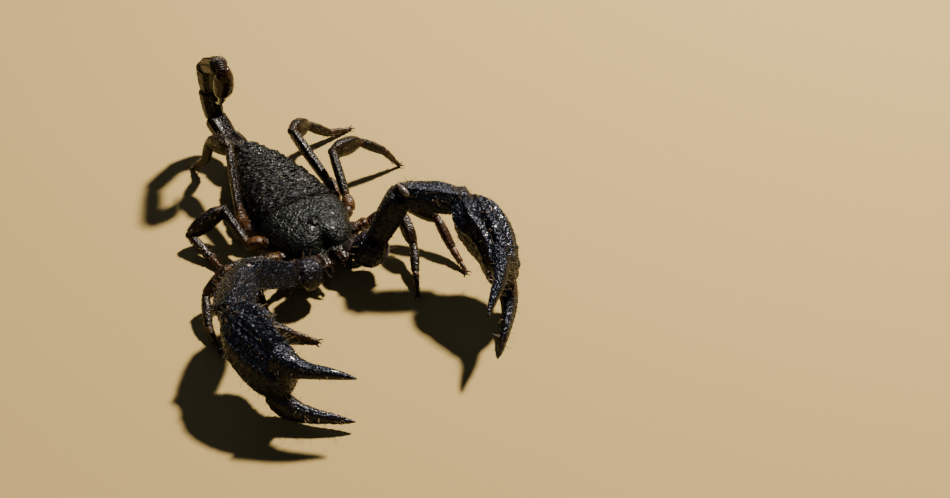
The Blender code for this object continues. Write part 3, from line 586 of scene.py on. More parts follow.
def makeBristlePattern(rings=4, sides=3, girth=0.026, bow=0.22, patchSize=0.003):
    # one bristle of unit length
    points, unwrapPatches = [], []
    for i in range(rings):
        t = i / rings
        for j in range(sides):
            turn = 2 * math.pi * j / sides
            radius = girth * (1 - t) ** 0.7
            x, y = math.cos(turn), math.sin(turn)
            points.append((x * radius + bow * t * t, y * radius, t))
            unwrapPatches.append((x * (1 - t) / 2 * patchSize, y * (1 - t) / 2 * patchSize, 0))
    points.append((bow, 0, 1))
    unwrapPatches.append((0, 0, 0))
    faces = []
    for i in range(rings - 1):
        for j in range(sides):
            k = (j + 1) % sides
            faces.append((i * sides + j, i * sides + k, (i + 1) * sides + k, (i + 1) * sides + j))
    top = (rings - 1) * sides
    faces += [(top + j, top + (j + 1) % sides, len(points) - 1) for j in range(sides)]
    data = bpy.data.meshes.new("bristlePattern")
    data.from_pydata(points, [], faces)
    store(data, "patch", "vector", unwrapPatches)
    data.polygons.foreach_set("use_smooth", [True] * len(faces))
    return newObject("bristlePattern", data)


grainTree, bristleTree, beadTree = makeGrainTree(), makeBristleTree(), makeBeadTree()
bristlePattern = makeBristlePattern()


def addGrains(piece, grain, seed):
    # grain: grains per square mm, gap, smallest and largest radius in mm, and height in radii
    runTree(piece, grainTree, {
        "Density": grain["perMm2"] / mm**2, "Spacing": grain["gap"] * mm, "Smallest": grain["small"] * mm,
        "Largest": grain["large"] * mm, "Height": grain["height"], "Seed": seed,
        "Material": piece.data.materials[0]})


def addBristles(piece, name, slotName, hair, seed):  # made before the grains, from the plain skin
    coat = piece.copy()
    coat.data = piece.data.copy()
    coat.name = name
    bpy.context.scene.collection.objects.link(coat)
    runTree(coat, bristleTree, {
        "Bristle": bristlePattern, "Density": hair["perMm2"] / mm**2, "Shortest": hair["short"] * mm,
        "Longest": hair["long"] * mm, "Lean": hair["lean"], "Seed": seed, "Material": finish["stiffBristle"]})
    if len(coat.data.polygons):
        fit(coat, slotName)
    else:
        bpy.data.objects.remove(coat)


def dress(piece, slotName, node, bristleName, hair, hairSeed, grain, grainSeed):
    # bristles, grains, then the frame
    addBristles(piece, bristleName, slotName, hair, hairSeed)
    addGrains(piece, grain, grainSeed)
    fit(piece, slotName, node)


def beadLines(name, points, edges, girths, spacing, shape, seed, material):
    data = bpy.data.meshes.new(name)
    data.from_pydata(inFrame(points), edges, [])
    store(data, "size", "value", girths)
    piece = newObject(name, data)
    runTree(piece, beadTree, {"Spacing": spacing * mm, "Shape": shape, "Seed": seed, "Material": material})
    return piece


def addBeads(name, path, sizes, spacing, material, seed, shape):  # path in mm, sizes are bead radii in mm
    edges = [(i, i + 1) for i in range(len(path) - 1)]
    return beadLines(name, path, edges, np.broadcast_to(sizes, len(path)) * mm, spacing, shape, seed,
        material)


def addRows(name, slotName, node, shell, rows, spacing, material, seed):
    # rows: angle, begin, end, bead radius
    points, edges, girths = [], [], []
    for line, begin, end, radius in rows:
        path = alongSkin(shell, line, begin, end)
        edges += [(len(points) + i, len(points) + i + 1) for i in range(len(path) - 1)]
        points += path.tolist()
        girths += [radius * mm * (0.7 + 0.3 * math.sin(math.pi * i / (len(path) - 1)))
            for i in range(len(path))]
    fit(beadLines(name, points, edges, girths, spacing, (1, 1, 1), seed, material), slotName, node)


# --- head shield and eyes ---

shield = {
    "edgeZ": 7.6, "notch": 1.9,
    "sections": ((0.0, 10.9, 4.7), (1.2, 11.2, 4.9), (4.6, 10.8, 4.8), (8.0, 9.8, 4.4), (10.9, 8.6, 3.9),
        (13.4, 7.3, 3.2), (14.7, 6.3, 2.5), (15.3, 5.2, 1.8)),
    "grains": {"perMm2": 6.0, "gap": 0.27, "small": 0.07, "large": 0.17, "height": 0.75},
}
eyes = {"y": -13.4, "spread": 0.85, "mound": (1.9, 1.45, 0.95)}


def shieldBend(points):  # the notched front edge
    ahead = rearOfShield - points[..., 1]
    front = np.clip((ahead - 9.4) / 5.9, 0, 1.1)
    droop = 1.5 * np.clip((ahead - 10.6) / 4.7, 0, 1.1) ** 1.6 * np.clip((points[..., 2] - 6.0) / 3.0, 0, 1)
    bent = points.copy()
    bent[..., 1] += shield["notch"] * front**2 * spot(points[..., 0], 0, 1.7)
    bent[..., 2] -= 0.35 * front * spot(points[..., 0], 0, 1.0) + droop
    return bent


def shieldRelief(share, angle, p):
    x, y = np.abs(p[..., 0]), p[..., 1]
    top = np.clip(np.sin(angle) * 3, 0, 1)
    frontFurrow = -0.42 * spot(x, 0, 0.55) * stretch(-y, 15.6, 23.5, 1.5)
    rearFurrow = -0.38 * spot(x, 0, 0.45) * stretch(-y, 6.4, 11.6, 1.2)
    hollow = -0.42 * spot(x, 0, 2.4) * spot(y, -6.9, 0.9)
    eyeRidge = 0.32 * spot(x, 2.0, 0.8) * stretch(-y, 10.8, 18.0, 2.0)
    sideFurrow = -0.36 * spot(x, 6.0 + 0.35 * (y + 10), 0.7) * stretch(-y, 6.2, 12.5, 1.5)
    midFurrow = -0.22 * spot(y + 0.35 * x, -11.0, 0.6) * stretch(x, 2.2, 7.0, 1.2)
    lobe = 0.34 * spot(x, 3.2, 1.7) * spot(y, -18.2, 1.6)
    rim = 0.22 * spot(share, 0.985, 0.02) + 0.16 * spot(share, 0.02, 0.02)
    edge = 0.22 * ridges(angle, (4, 176), 5)
    furrows = frontFurrow + rearFurrow + hollow + eyeRidge + sideFurrow + midFurrow
    return top * (furrows + lobe + rim + 0.07 * lumps(p, 2.6, 3)) + edge


def shieldGrain(share, angle, p):
    x, y = np.abs(p[..., 0]), p[..., 1]
    upper = np.clip(np.sin(angle) * 4 - 0.1, 0, 1)
    bare = 0.55 * spot(x, 0, 3.0) * stretch(-y, 5.5, 21.0, 2.0)
    return upper * np.clip(0.95 - bare - 0.25 * lumps(p, 3.0, 8), 0.12, 1)


at = np.linspace(0, 17.7, 96)
half, above = flow(shield["sections"], at).T
fields = {
    "grain": shieldGrain, "glaze": patches(0.35, 1.4, 5),
    "tint": lambda s, a, p: 0.6 * ridges(a, (2, 178), 6) + 0.35 * stretch(s, 0.93, 1.2, 0.06)}
y = rearOfShield - at
caps = (0.15, 0.45)
shell = trunkSkin(y, shield["edgeZ"], half, above, 0.5, 2.3, 120, caps, shieldRelief, fields, shieldBend)
headShield = makePiece("headShield", [shell], finish["grainedShieldChitin"])
addGrains(headShield, shield["grains"], 11)
fit(headShield, "shield_black", "head_shield")

crown = shield["edgeZ"] + 4.42
mound = blob((0, eyes["y"], crown - 0.1), (0, 1, 0), (0, 0, 1), eyes["mound"], 40, 24,
    relief=lambda s, a, p: -0.18 * spot(p[..., 0], 0, 0.28) + 0.02 * lumps(p, 0.8, 2), fields={"grain": 0.25})
eyeMound = makePiece("eyeMound", [mound], finish["grainedShieldChitin"])
addGrains(eyeMound, {"perMm2": 6.0, "gap": 0.25, "small": 0.05, "large": 0.11, "height": 0.7}, 4)
fit(eyeMound, "eye_black", "median_eyes")
lenses = []
for side in (-1, 1):
    look = unit((side * 0.75, -0.15, 0.65))
    centre = np.array([side * eyes["spread"], eyes["y"], crown + 0.42])
    lenses.append(blob(centre + look * 0.1, look, (0, 1, 0), (0.62, 0.60, 0.60), 28, 15))
    for dy, dx, r in ((0.0, 0.0, 0.30), (0.85, 0.55, 0.27), (1.6, 0.9, 0.22)):  # three small side eyes
        centre = (side * (5.55 + dx), -21.35 + dy, 8.65 + 0.08 * dy)
        lenses.append(blob(centre, unit((side, -0.6, 0.5)), (0, 0, 1), (r * 0.8, r, r), 16, 9))
medianEyes = makePiece("medianEyes", lenses, finish["polishedEyeLens"])
fit(medianEyes, "eye_black", "median_eyes")
print("shield and eyes done")


# --- trunk: back plates, flank skin, belly plates, leg bases and combs ---

trunk = {
    "plateEnds": (-2.9, 0.7, 5.0, 9.6, 14.4, 19.2, 25.6), "bellyEnds": (7.0, 11.4, 15.9, 20.6, 25.4),
    "bellyStart": 2.2,
    "edgeZ": 7.9, "flankZ": 6.45, "bellyZ": 5.1, "bellyDepth": 2.1, "gap": 0.3,
    "widths": ((-6.0, 11.2), (-3.0, 11.4), (1.0, 11.4), (5.0, 11.1), (9.0, 10.5), (13.0, 9.7), (17.0, 8.6),
        (20.0, 7.3), (23.0, 5.4), (26.0, 3.4)),
    "insets": ((-6.0, 0.6), (-3.0, 0.8), (1.0, 1.2), (5.0, 1.6), (14.0, 1.7), (20.0, 1.3), (26.0, 0.6)),
    "crowns": ((-6.0, 4.3), (2.0, 4.5), (9.0, 4.3), (15.0, 3.8), (20.0, 3.1), (26.0, 2.3)),
    "grains": {"perMm2": 5.0, "gap": 0.28, "small": 0.07, "large": 0.18, "height": 0.8},
}
plateSwell = ((0.0, 0.925), (0.18, 0.945), (0.30, 0.975), (0.7, 1.0), (0.93, 1.012), (1.0, 0.985))


def plateRelief(number):
    def relief(share, angle, p):
        upper = np.clip(np.sin(angle) * 4, 0, 1)
        beads, uneven = 1 + 0.35 * np.cos(angle * 74 + number), 1 + 0.8 * lumps(p, 1.4, number)
        rim = 0.30 * spot(share, 0.95, 0.035) * beads + 0.17 * spot(share, 0.60, 0.04) * uneven
        lines = ((0.34, 0.27, 0.05), (0.20, 0.84, 0.05), (0.12, 0.50, 0.04))  # depth, place and width
        groove = -sum(depth * spot(share, at, width) for depth, at, width in lines)
        wrinkle = 0.13 * lumps(p * (0.35, 1.0, 0.6), 0.75, 30 + number)
        keel = 0.16 * spot(p[..., 0], 0, 0.55) * stretch(share, 0.3, 1.1, 0.15)
        x, sideKeels = np.abs(p[..., 0]), 0
        if number == 7:  # only the last plate has keels at the sides
            sideKeels = 0.20 * (spot(x, 4.6, 0.6) + spot(x, 2.3, 0.5)) * stretch(share, 0.35, 1.0, 0.2)
        dimple = -0.20 * spot(x, 5.2, 1.5) * spot(share, 0.5, 0.16)
        return upper * (rim + groove + wrinkle + keel + sideKeels + dimple + 0.06 * lumps(p, 2.0, number))
    return relief


def plateGrain(share, angle, p):
    upper = np.clip(np.sin(angle) * 4, 0, 1)
    return upper * np.clip(0.25 + 0.75 * stretch(share, 0.3, 1.05, 0.2) - 0.25 * lumps(p, 2.5, 6), 0.05, 1)


def plateTint(share, angle, p):  # browner where a plate slides under the next one, and at its rims
    hidden = 0.75 * (1 - stretch(share, 0.2, 2.0, 0.12))
    return np.clip(hidden + 0.35 * spot(share, 0.97, 0.03) + 0.5 * ridges(angle, (2, 178), 6), 0, 1)


start = rearOfShield + trunk["gap"]
for number, end in enumerate(trunk["plateEnds"], 1):
    begin = start - (0.9 if number > 1 else 0.2)  # the part under the plate ahead
    y = np.linspace(begin, end - 0.08, 44)
    swell = flow(plateSwell, np.linspace(0, 1, 44))[:, 0]
    half = (flow(trunk["widths"], y) - flow(trunk["insets"], y))[:, 0] * swell
    above = flow(trunk["crowns"], y)[:, 0] * swell
    fields = {"grain": plateGrain, "tint": plateTint, "glaze": patches(0.4, 1.6, 9)}
    relief = plateRelief(number)
    shell = trunkSkin(y, trunk["edgeZ"], half, above, 0.22, 2.25, 120, (0.05, 0.22), relief, fields)
    plate = makePiece(f"backPlate{number}", [shell], finish["grainedBackChitin"])
    addGrains(plate, trunk["grains"], 20 + number)
    fit(plate, "trunk_black", f"back_plate_{number}")
    start = end


def flankFolds(share, angle, p):
    side = stretch(np.abs(np.cos(angle)), 0.3, 1.5, 0.2)
    lengthwise = 0.13 * np.sin(p[..., 2] * 9.5 + 0.5 * lumps(p, 6, 1))
    segment = np.interp(p[..., 1], (rearOfShield, *trunk["plateEnds"]), range(8))
    pinch = 0.30 * np.abs(np.cos(segment * math.pi)) ** 6  # at every plate's end
    return side * (lengthwise - pinch + 0.10 * lumps(p, 1.6, 4)) + 0.04 * lumps(p, 0.8, 4)


def flankTint(share, angle, p):
    bands = 1.3 * ridges(angle, (14, 166), 9) + 0.4 * np.sin(p[..., 2] * 9.5)
    return np.clip(bands, 0, 1) * (0.75 + 0.25 * lumps(p, 1.6, 5))


def flankGlaze(share, angle, p):
    return np.clip(lumps(p, 2.4, 12) - 0.3, 0, 0.6) + 0.5 * (np.sin(angle) < -0.1)


y = np.linspace(-2.5, 25.2, 150)
half = flow(trunk["widths"], y)[:, 0] + 0.3
fields = {"tint": flankTint, "glaze": flankGlaze}
shell = trunkSkin(y, trunk["flankZ"], half, 1.15, 1.15, 2.4, 140, (0.3, 0.3), flankFolds, fields)
flank = makePiece("flankSkin", [shell], finish["foldedFlankSkin"])
fit(flank, "membrane_brown", "side_membrane")


def bellyRelief(number):
    def relief(share, angle, p):
        x, lungX = np.abs(p[..., 0]), 6.0 if number < 7 else 99  # the last plate has no lungs
        lungSlit = -0.35 * spot(x - 0.6 * (share - 0.5), lungX, 0.95) * spot(share, 0.55, 0.06)
        furrow = 0.08 * spot(x, 3.0, 0.4) * stretch(share, 0.1, 0.9)
        return np.clip(-np.sin(angle) * 4, 0, 1) * (lungSlit + 0.10 * spot(share, 0.95, 0.04) - furrow)
    return relief


start = trunk["bellyStart"]
for number, end in enumerate(trunk["bellyEnds"], 3):
    y = np.linspace(start - (0.5 if number > 3 else 0), end - 0.1, 30)
    swell = flow(((0, 0.95), (0.3, 0.985), (0.85, 1.0), (1, 0.98)), np.linspace(0, 1, 30))[:, 0]
    half = (flow(trunk["widths"], y)[:, 0] - 0.5) * swell
    depth = trunk["bellyDepth"] * swell * np.where(y < 18, 1.0, 1 - (y - 18) * 0.035)
    fields = {
        "tint": lambda s, a, p: 0.6 * spot(s, 1.0, 0.08), "hair": lambda s, a, p: 0.15 * (np.sin(a) < -0.2)}
    relief = bellyRelief(number)
    shell = trunkSkin(y, trunk["bellyZ"], half, 0.1, depth, 2.6, 90, (0.05, 0.2), relief, fields)
    plate = makePiece(f"bellyPlate{number}", [shell], finish["smoothBellyChitin"])
    fit(plate, "belly_brown", f"belly_plate_{number}")
    start = end
print("trunk done")

combs = {"y": 0.6, "z": 3.0, "toothGap": 0.42}
legRoots = ((2.6, -15.6, 5.1), (2.6, -13.4, 5.1), (2.7, -11.0, 5.1), (2.8, -8.2, 5.1))
hips = ((10.2, -19.9, 5.6), (11.6, -15.2, 6.0), (12.5, -8.7, 6.9), (13.3, 0.4, 5.2))
legHalf = (1.45, 1.55, 1.65, 1.75)
armRoot, knobRadius = (8.6, -25.9, 7.7), 3.7
legBaseShape = (
    (0, 0.75, 0.8, 0.85), (0.3, 1.0, 0.8, 0.95), (0.6, 1.12, 0.86, 1.0), (0.85, 1.08, 0.92, 0.98),
    (0.96, 0.92, 0.85, 0.85))


def legBaseRelief(share, angle, p):
    keels = ridges(angle, (150, 30), 9) + ridge(angle, 270, 10)
    return 0.14 * keels * stretch(share, 0.2, 1.0) + 0.12 * spot(share, 0.93, 0.04) + 0.04 * lumps(p, 1.0, 5)


def armBaseRelief(share, angle, p):
    keels = 0.15 * ridges(angle, (150, 30), 8) * stretch(share, 0.1, 1.0)
    return keels + 0.14 * spot(share, 0.95, 0.04) + 0.05 * lumps(p, 1.2, 6)


y = np.linspace(-19.0, -1.2, 40)
half = flow(((-19.5, 3.4), (-17, 4.5), (-10, 5.1), (-4, 4.9), (-1, 3.8)), y)[:, 0]
shells = [trunkSkin(y, 5.2, half, 1.4, 1.35, 3.2, 60, (0.3, 0.3), lambda s, a, p: 0.08 * lumps(p, 2, 3))]
for side in (-1, 1):
    for root, hip, half in zip(legRoots, hips, legHalf):
        root, hip = onSide(root, side), onSide(hip, side)
        fields = {"tint": within(0.75, 0.82, 2.0, 0.12), "hair": 0.15}
        way, long, sections = unit(hip - root), np.linalg.norm(hip - root), scaled(legBaseShape, half)
        shells.append(limb(root, way, long, sections, None, 2.5, 44, 40,
            caps=(0.4, 0.25), relief=legBaseRelief, fields=fields))
    root, knob = np.array((side * 3.0, -17.5, 5.2)), onSide(armRoot, side)
    way, long = unit(knob - root), np.linalg.norm(knob - root)
    reach = (long - knobRadius + 0.5) / long
    sections = ((0, 1.8, 1.2, 1.5), (0.35, 2.6, 1.6, 2.0), (reach * 0.85, 2.9, 1.8, 2.4),
        (reach, 2.3, 1.5, 1.9))
    fields = {"tint": within(0.5, 0.85, 2.0, 0.1), "grain": 0.3, "hair": 0.1}
    shells.append(limb(root, way, long, sections, None, 2.6, 52, 44,
        caps=(0.5, 0.3), relief=armBaseRelief, fields=fields))
shells.append(blob((0, -7.4, 3.95), (0, 1, 0), (0, 0, 1), (1.7, 1.5, 0.55), 30, 14,  # the breast plate
    relief=lambda s, a, p: -0.25 * spot(p[..., 0], 0, 0.3) * (p[..., 2] < 4)))
for side in (-1, 1):
    way = unit((side * 0.3, 1, 0))
    shells.append(blob((side * 1.35, -4.3, 3.75), way, (0, 0, 1), (1.8, 1.3, 0.5), 26, 12))
coxae = makePiece("legBases", shells, finish["smoothBellyChitin"])
dress(coxae, "belly_brown", "coxa_block", "legBaseBristles",
    {"perMm2": 0.5, "short": 0.4, "long": 1.0, "lean": 0.8}, 3,
    {"perMm2": 3.0, "gap": 0.3, "small": 0.06, "large": 0.13, "height": 0.7}, 31)


def combPath(side, places, shift, drop):
    return [(side * x, combs["y"] + 0.10 * x + shift, combs["z"] + drop) for x in places]


shells = [blob((0, combs["y"] - 0.6, combs["z"] + 0.25), (1, 0, 0), (0, 0, 1), (1.5, 0.9, 0.45), 24, 12)]
for side in (-1, 1):
    shells.append(horn(combPath(side, (0.8, 2.5, 4.4, 6.2), -0.3, 0.12), (0.42, 0.46, 0.40, 0.24), 16, 40))
    shells.append(horn(combPath(side, (0.9, 2.5, 4.4, 6.3), 0.12, -0.05), (0.26, 0.26, 0.24, 0.16), 12, 40))
combPiece = makePiece("combs", shells, finish["softCombSkin"])
fit(combPiece, "comb_tan", "comb_organs")
for side, label in ((-1, "Right"), (1, "Left")):
    path = combPath(side, np.linspace(1.0, 6.3, 12), 0.55, -0.12)
    teeth = addBeads(f"combTeeth{label}", path, 0.19, combs["toothGap"], finish["softCombSkin"], 2,
        (0.8, 2.9, 1.1))
    fit(teeth, "comb_tan", "comb_organs")
print("leg bases and combs done")


# --- tail ---

tail = {
    "root": (-1.0, 25.9, 8.0),
    # each segment's length, turn, rise, half width and half height
    "rows": ((6.6, 7, -5, 2.95, 2.8), (7.9, 6, 25, 2.8, 2.7), (9.1, 10, 84, 2.6, 2.55),
        (10.4, 165, 72, 2.45, 2.45), (13.6, 176, 31, 2.25, 2.2)),
    "keelTops": (62, 118),
    "keels": ((0.9, (28, 152), 5), (0.45, (-12, 192), 4.5), (0.8, (-48, 228), 5), (0.5, (-76, 256), 4.5)),
    "lastKeels": ((0.6, (8, 172), 5), (1.0, (-45, 225), 5.5), (0.8, (270,), 5)),
    "grains": {"perMm2": 2.5, "gap": 0.32, "small": 0.06, "large": 0.14, "height": 0.9},
    "bristles": {"perMm2": 0.28, "short": 0.7, "long": 1.9, "lean": 0.5},
}


def keel(share, angle, lines, long, width=6.0, bead=0.55):  # beaded lines along a piece
    beads = 0.62 + 0.38 * np.cos(share * long / bead * 2 * math.pi)
    return ridges(angle, lines, width) * beads


def tailRelief(number, long):
    def relief(share, angle, p):
        body = stretch(share, 0.06, 0.97, 0.06)
        tops = keel(share, angle, tail["keelTops"], long, 5.5)
        rows = tail["lastKeels"] if number == 5 else tail["keels"]
        rest = sum(height * keel(share, angle, lines, long, width) for height, lines, width in rows)
        rising = 1 + 0.9 * spot(share, 0.93, 0.10) if number < 5 else 1 - 0.4 * spot(share, 1.0, 0.3)
        groove = -0.34 * ridge(angle, 90, 15) * stretch(share, 0.1, 0.98, 0.15)
        flare = 0.20 * spot(share, 0.96, 0.035) + 0.12 * spot(share, 0.05, 0.03)
        notch = -0.30 * spot(share, 0.10, 0.03)
        keels = 0.34 * tops * rising + 0.27 * rest
        return body * (keels + groove) + flare + notch * 0.6 + 0.035 * lumps(p, 1.3, number)
    return relief


tailShape = (
    (0.09, 0.86, 0.86, 0.88), (0.22, 0.92, 0.93, 0.95), (0.5, 0.98, 0.98, 1.0), (0.78, 1.0),
    (0.91, 0.97, 0.99, 0.94),
    (0.965, 0.88, 0.88, 0.86))
ringShape = ((-0.5, 0.9), (0.0, 0.98), (0.5, 0.9))  # the soft skin at a joint


# Pale grey at each segment's far end: a faint rim on the first four segments, and on the last a painted
# highlight where its lit end catches the light.
def tailRimsAndPaintedHighlight(number):
    amount, begin = (0.75, 0.9) if number == 5 else (0.2, 0.94)
    return lambda s, a, p: amount * stretch(s, begin, 2.0,
        0.04) * (0.5 + 0.5 * np.clip(lumps(p, 1.2, 3) + 0.4, 0, 1))


shells = []
start, before = np.array(tail["root"]), np.array((0.0, 1.0, 0.0))
bulbWay = heading(25, -80, -1, True)
tailWays = [*(heading(row[1], row[2], -1, True) for row in tail["rows"]), bulbWay]
for number, (long, _, _, half, tall) in enumerate(tail["rows"], 1):
    way = tailWays[number - 1]
    up = upright(way, (0, -0.6, 0.8))
    neck = 0.78 if number > 1 else 0.88
    neckHeight = tall * neck * 0.92
    sections = [(0.035, half * neck * 0.92, neckHeight, neckHeight), *scaled(tailShape, half, tall)]
    rims = ends(0.55, 0.1, 0.06, 0.45, 0.93, 0.05)
    fields = {
        "grain": within(0.6, 0.08, 1.0),
        "hair": lambda s, a, p: 0.25 + 0.6 * ridges(a, (62, 118, -48, 228), 9),
        "tint": lambda s, a, p: np.clip(rims(s, a, p), 0, 1), "glaze": tailRimsAndPaintedHighlight(number)}
    shell = limb(start, way, long, sections, up, 2.6, 100, int(long / 0.13),
        caps=(0.35, 0.35), relief=tailRelief(number, long), fields=fields)
    segment = makePiece(f"tailSegment{number}", [shell], finish["ridgedTailChitin"])
    dress(segment, "tail_brown", f"tail_{number}", f"tailBristles{number}", tail["bristles"], 40 + number,
        tail["grains"], 50 + number)
    meet = unit(before + way)
    shells.append(limb(start, meet, 2.2, scaled(ringShape, half * 0.76), upright(meet, (0, -0.6, 0.8)), 2.2,
        48, 26,
        caps=(0.2, 0.2), relief=lambda s, a, p: 0.10 * np.sin(s * 26), fields={"tint": 0.3}))
    before, start = way, start + way * long
sections = ((-0.4, 1.5, 1.5, 1.5), (0.1, 1.35, 1.35, 1.35), (0.6, 1.1, 1.1, 1.1))
shells.append(limb(start, unit(before + bulbWay), 2.4, sections, None, 2.2, 40, 24,
    caps=(0.2, 0.2), relief=lambda s, a, p: 0.09 * np.sin(s * 26)))
tailSkin = makePiece("tailJointSkin", shells, finish["darkJointSkin"])
fit(tailSkin, "tail_brown", "tail_1")

telson = {
    "long": 10.0, "half": 2.6, "tall": 2.4, "shift": (0.9, -0.7, 0.0), "reach": 1.1,
    "shape": (
        (-0.03, 0.50), (0.03, 0.62, 0.62, 0.58), (0.10, 0.78, 0.78, 0.68), (0.20, 0.91, 0.92, 0.79),
        (0.32, 0.99, 1.03, 0.88),
        (0.58, 1.02, 1.06, 0.94), (0.72, 0.95, 0.95, 0.93), (0.82, 0.84, 0.76, 0.87),
        (0.92, 0.60, 0.46, 0.70),
        (0.985, 0.40, 0.24, 0.54)),
}


def bulbRelief(share, angle, p):
    grooves = 0.10 * ridges(angle, (-60, -120), 8) * stretch(share, 0.08, 0.8)
    seam = 0.05 * ridge(angle, -90, 12) * stretch(share, 0.05, 0.8)
    return 0.05 * lumps(p, 1.6, 2) + 0.12 * spot(share, 0.02, 0.03) - grooves + seam


def bulbTint(share, angle, p):
    mottle = 0.35 * np.clip(lumps(p, 1.3, 9) - 0.2, 0, 1)
    return np.clip(0.55 * (1 - stretch(share, 0.1, 2.0, 0.1)) + mottle, 0, 1)


tall = telson["tall"]
up = upright(bulbWay, (0, -1, 0))
start = start + bulbWay * telson["reach"] + np.array(telson["shift"])
shell = limb(start, bulbWay, telson["long"], scaled(telson["shape"], telson["half"], tall), up, 2.05, 80, 90,
    caps=(0.35, 0.3), relief=bulbRelief, fields={
        "tint": bulbTint, "glaze": within(0.7, 0.86, 2.0, 0.12),
        "hair": lambda s, a, p: 0.7 * (np.sin(a) < 0.3),
        "grain": lambda s, a, p: 0.5 * (np.sin(a) < -0.2) * (s < 0.5)})
bulb = makePiece("venomBulb", [shell], finish["glossyBulbChitin"])
dress(bulb, "bulb_red", "venom_bulb", "bulbBristles",
    {"perMm2": 0.5, "short": 0.7, "long": 1.8, "lean": 0.6}, 60,
    {"perMm2": 1.2, "gap": 0.5, "small": 0.05, "large": 0.10, "height": 0.8}, 61)
tip = start + bulbWay * (telson["long"] + 0.1) - up * tall * 0.16
path, radii = [tip - bulbWay * 0.4], [1.15]
for i in range(6):
    bend = math.radians(-80 + 62 * i / 5)
    if i:
        tip = tip + unit((-0.15, math.cos(bend), math.sin(bend)))
    path.append(tip)
    radii.append(1.02 * (1 - i / 5) ** 0.85 + 0.05)
sting = makePiece("sting", [horn(path, radii, 32, 60)], finish["darkStingHorn"])
fit(sting, "sting_dark", "sting")
print("tail done")


# --- jaws ---

jaw = {
    "start": (2.7, -16.3, 7.5), "long": 8.8,
    "sections": (
        (0.50, 1.4, 0.85, 1.2), (0.62, 1.75, 0.95, 1.3), (0.72, 1.88, 1.2, 1.42), (0.85, 1.82, 1.22, 1.42),
        (0.95, 1.55, 1.05, 1.22), (1.0, 1.15, 0.8, 1.0)),
    "bristles": {"perMm2": 0.9, "short": 0.4, "long": 1.0, "lean": 1.0},
    "grains": {"perMm2": 3.0, "gap": 0.3, "small": 0.05, "large": 0.10, "height": 0.7},
}


def jawRelief(share, angle, p):
    crest = 0.12 * ridge(angle, 90, 14) * stretch(share, 0.3, 1.0)
    return crest - 0.10 * ridges(angle, (60, 120), 8) + 0.05 * lumps(p, 1.0, 4)


for side, label in ((-1, "right"), (1, "left")):
    root = onSide(jaw["start"], side)
    way = heading(-1 if side > 0 else 1, -9)
    up = upright(way)
    fields = {"glaze": patches(0.5, 1.1, 6), "grain": 0.4}
    fields |= {"tint": within(0.4, 0.8, 2, 0.2), "hair": within(0.5, 0.55, 2, 0.2)}
    shells = [limb(root, way, jaw["long"], jaw["sections"], up, 2.4, 64, 60, caps=(0.3, 0.35),
        relief=jawRelief,
        fields=fields)]
    end = root + way * jaw["long"] * 0.93
    for shift, lift, reach, turn, width in ((0.75, -0.1, 3.2, -6, 0.80), (-0.75, -0.3, 2.6, 6, 0.72)):
        tipWay = heading(turn * side, -24)
        base = end + np.array((side * shift, 0, lift))
        bow = np.array((-side * 0.35 * np.sign(shift), 0, 0.1))
        path = [base + tipWay * reach * far + bow * out
            for far, out in ((0.3, -0.6), (0.65, -0.5), (0.97, 1))]
        path.insert(0, base - tipWay * 0.6)
        shells.append(horn(path, (width, width * 0.82, width * 0.55, 0.12), 24, 30,
            {"tint": within(1, 0.45, 2, 0.3)}))
        for step, size in ((0.42, 0.3), (0.62, 0.26), (0.8, 0.2)):
            tooth = base + tipWay * reach * step - bow * 0.3
            point = tooth + np.array((-side * np.sign(shift) * (width * 0.55 + size), 0, 0)) * 0.8
            shells.append(horn([tooth, point], (size * 0.8, 0.05), 8, 6, {"tint": 1.0}))
    jawPiece = makePiece(f"jaw_{label}", shells, finish["brownJawChitin"])
    dress(jawPiece, "jaw_brown", f"jaw_{label}", f"jawBristles_{label}", jaw["bristles"], 70 + side,
        jaw["grains"], 72 + side)
print("jaws done")


# --- arms with pincers ---

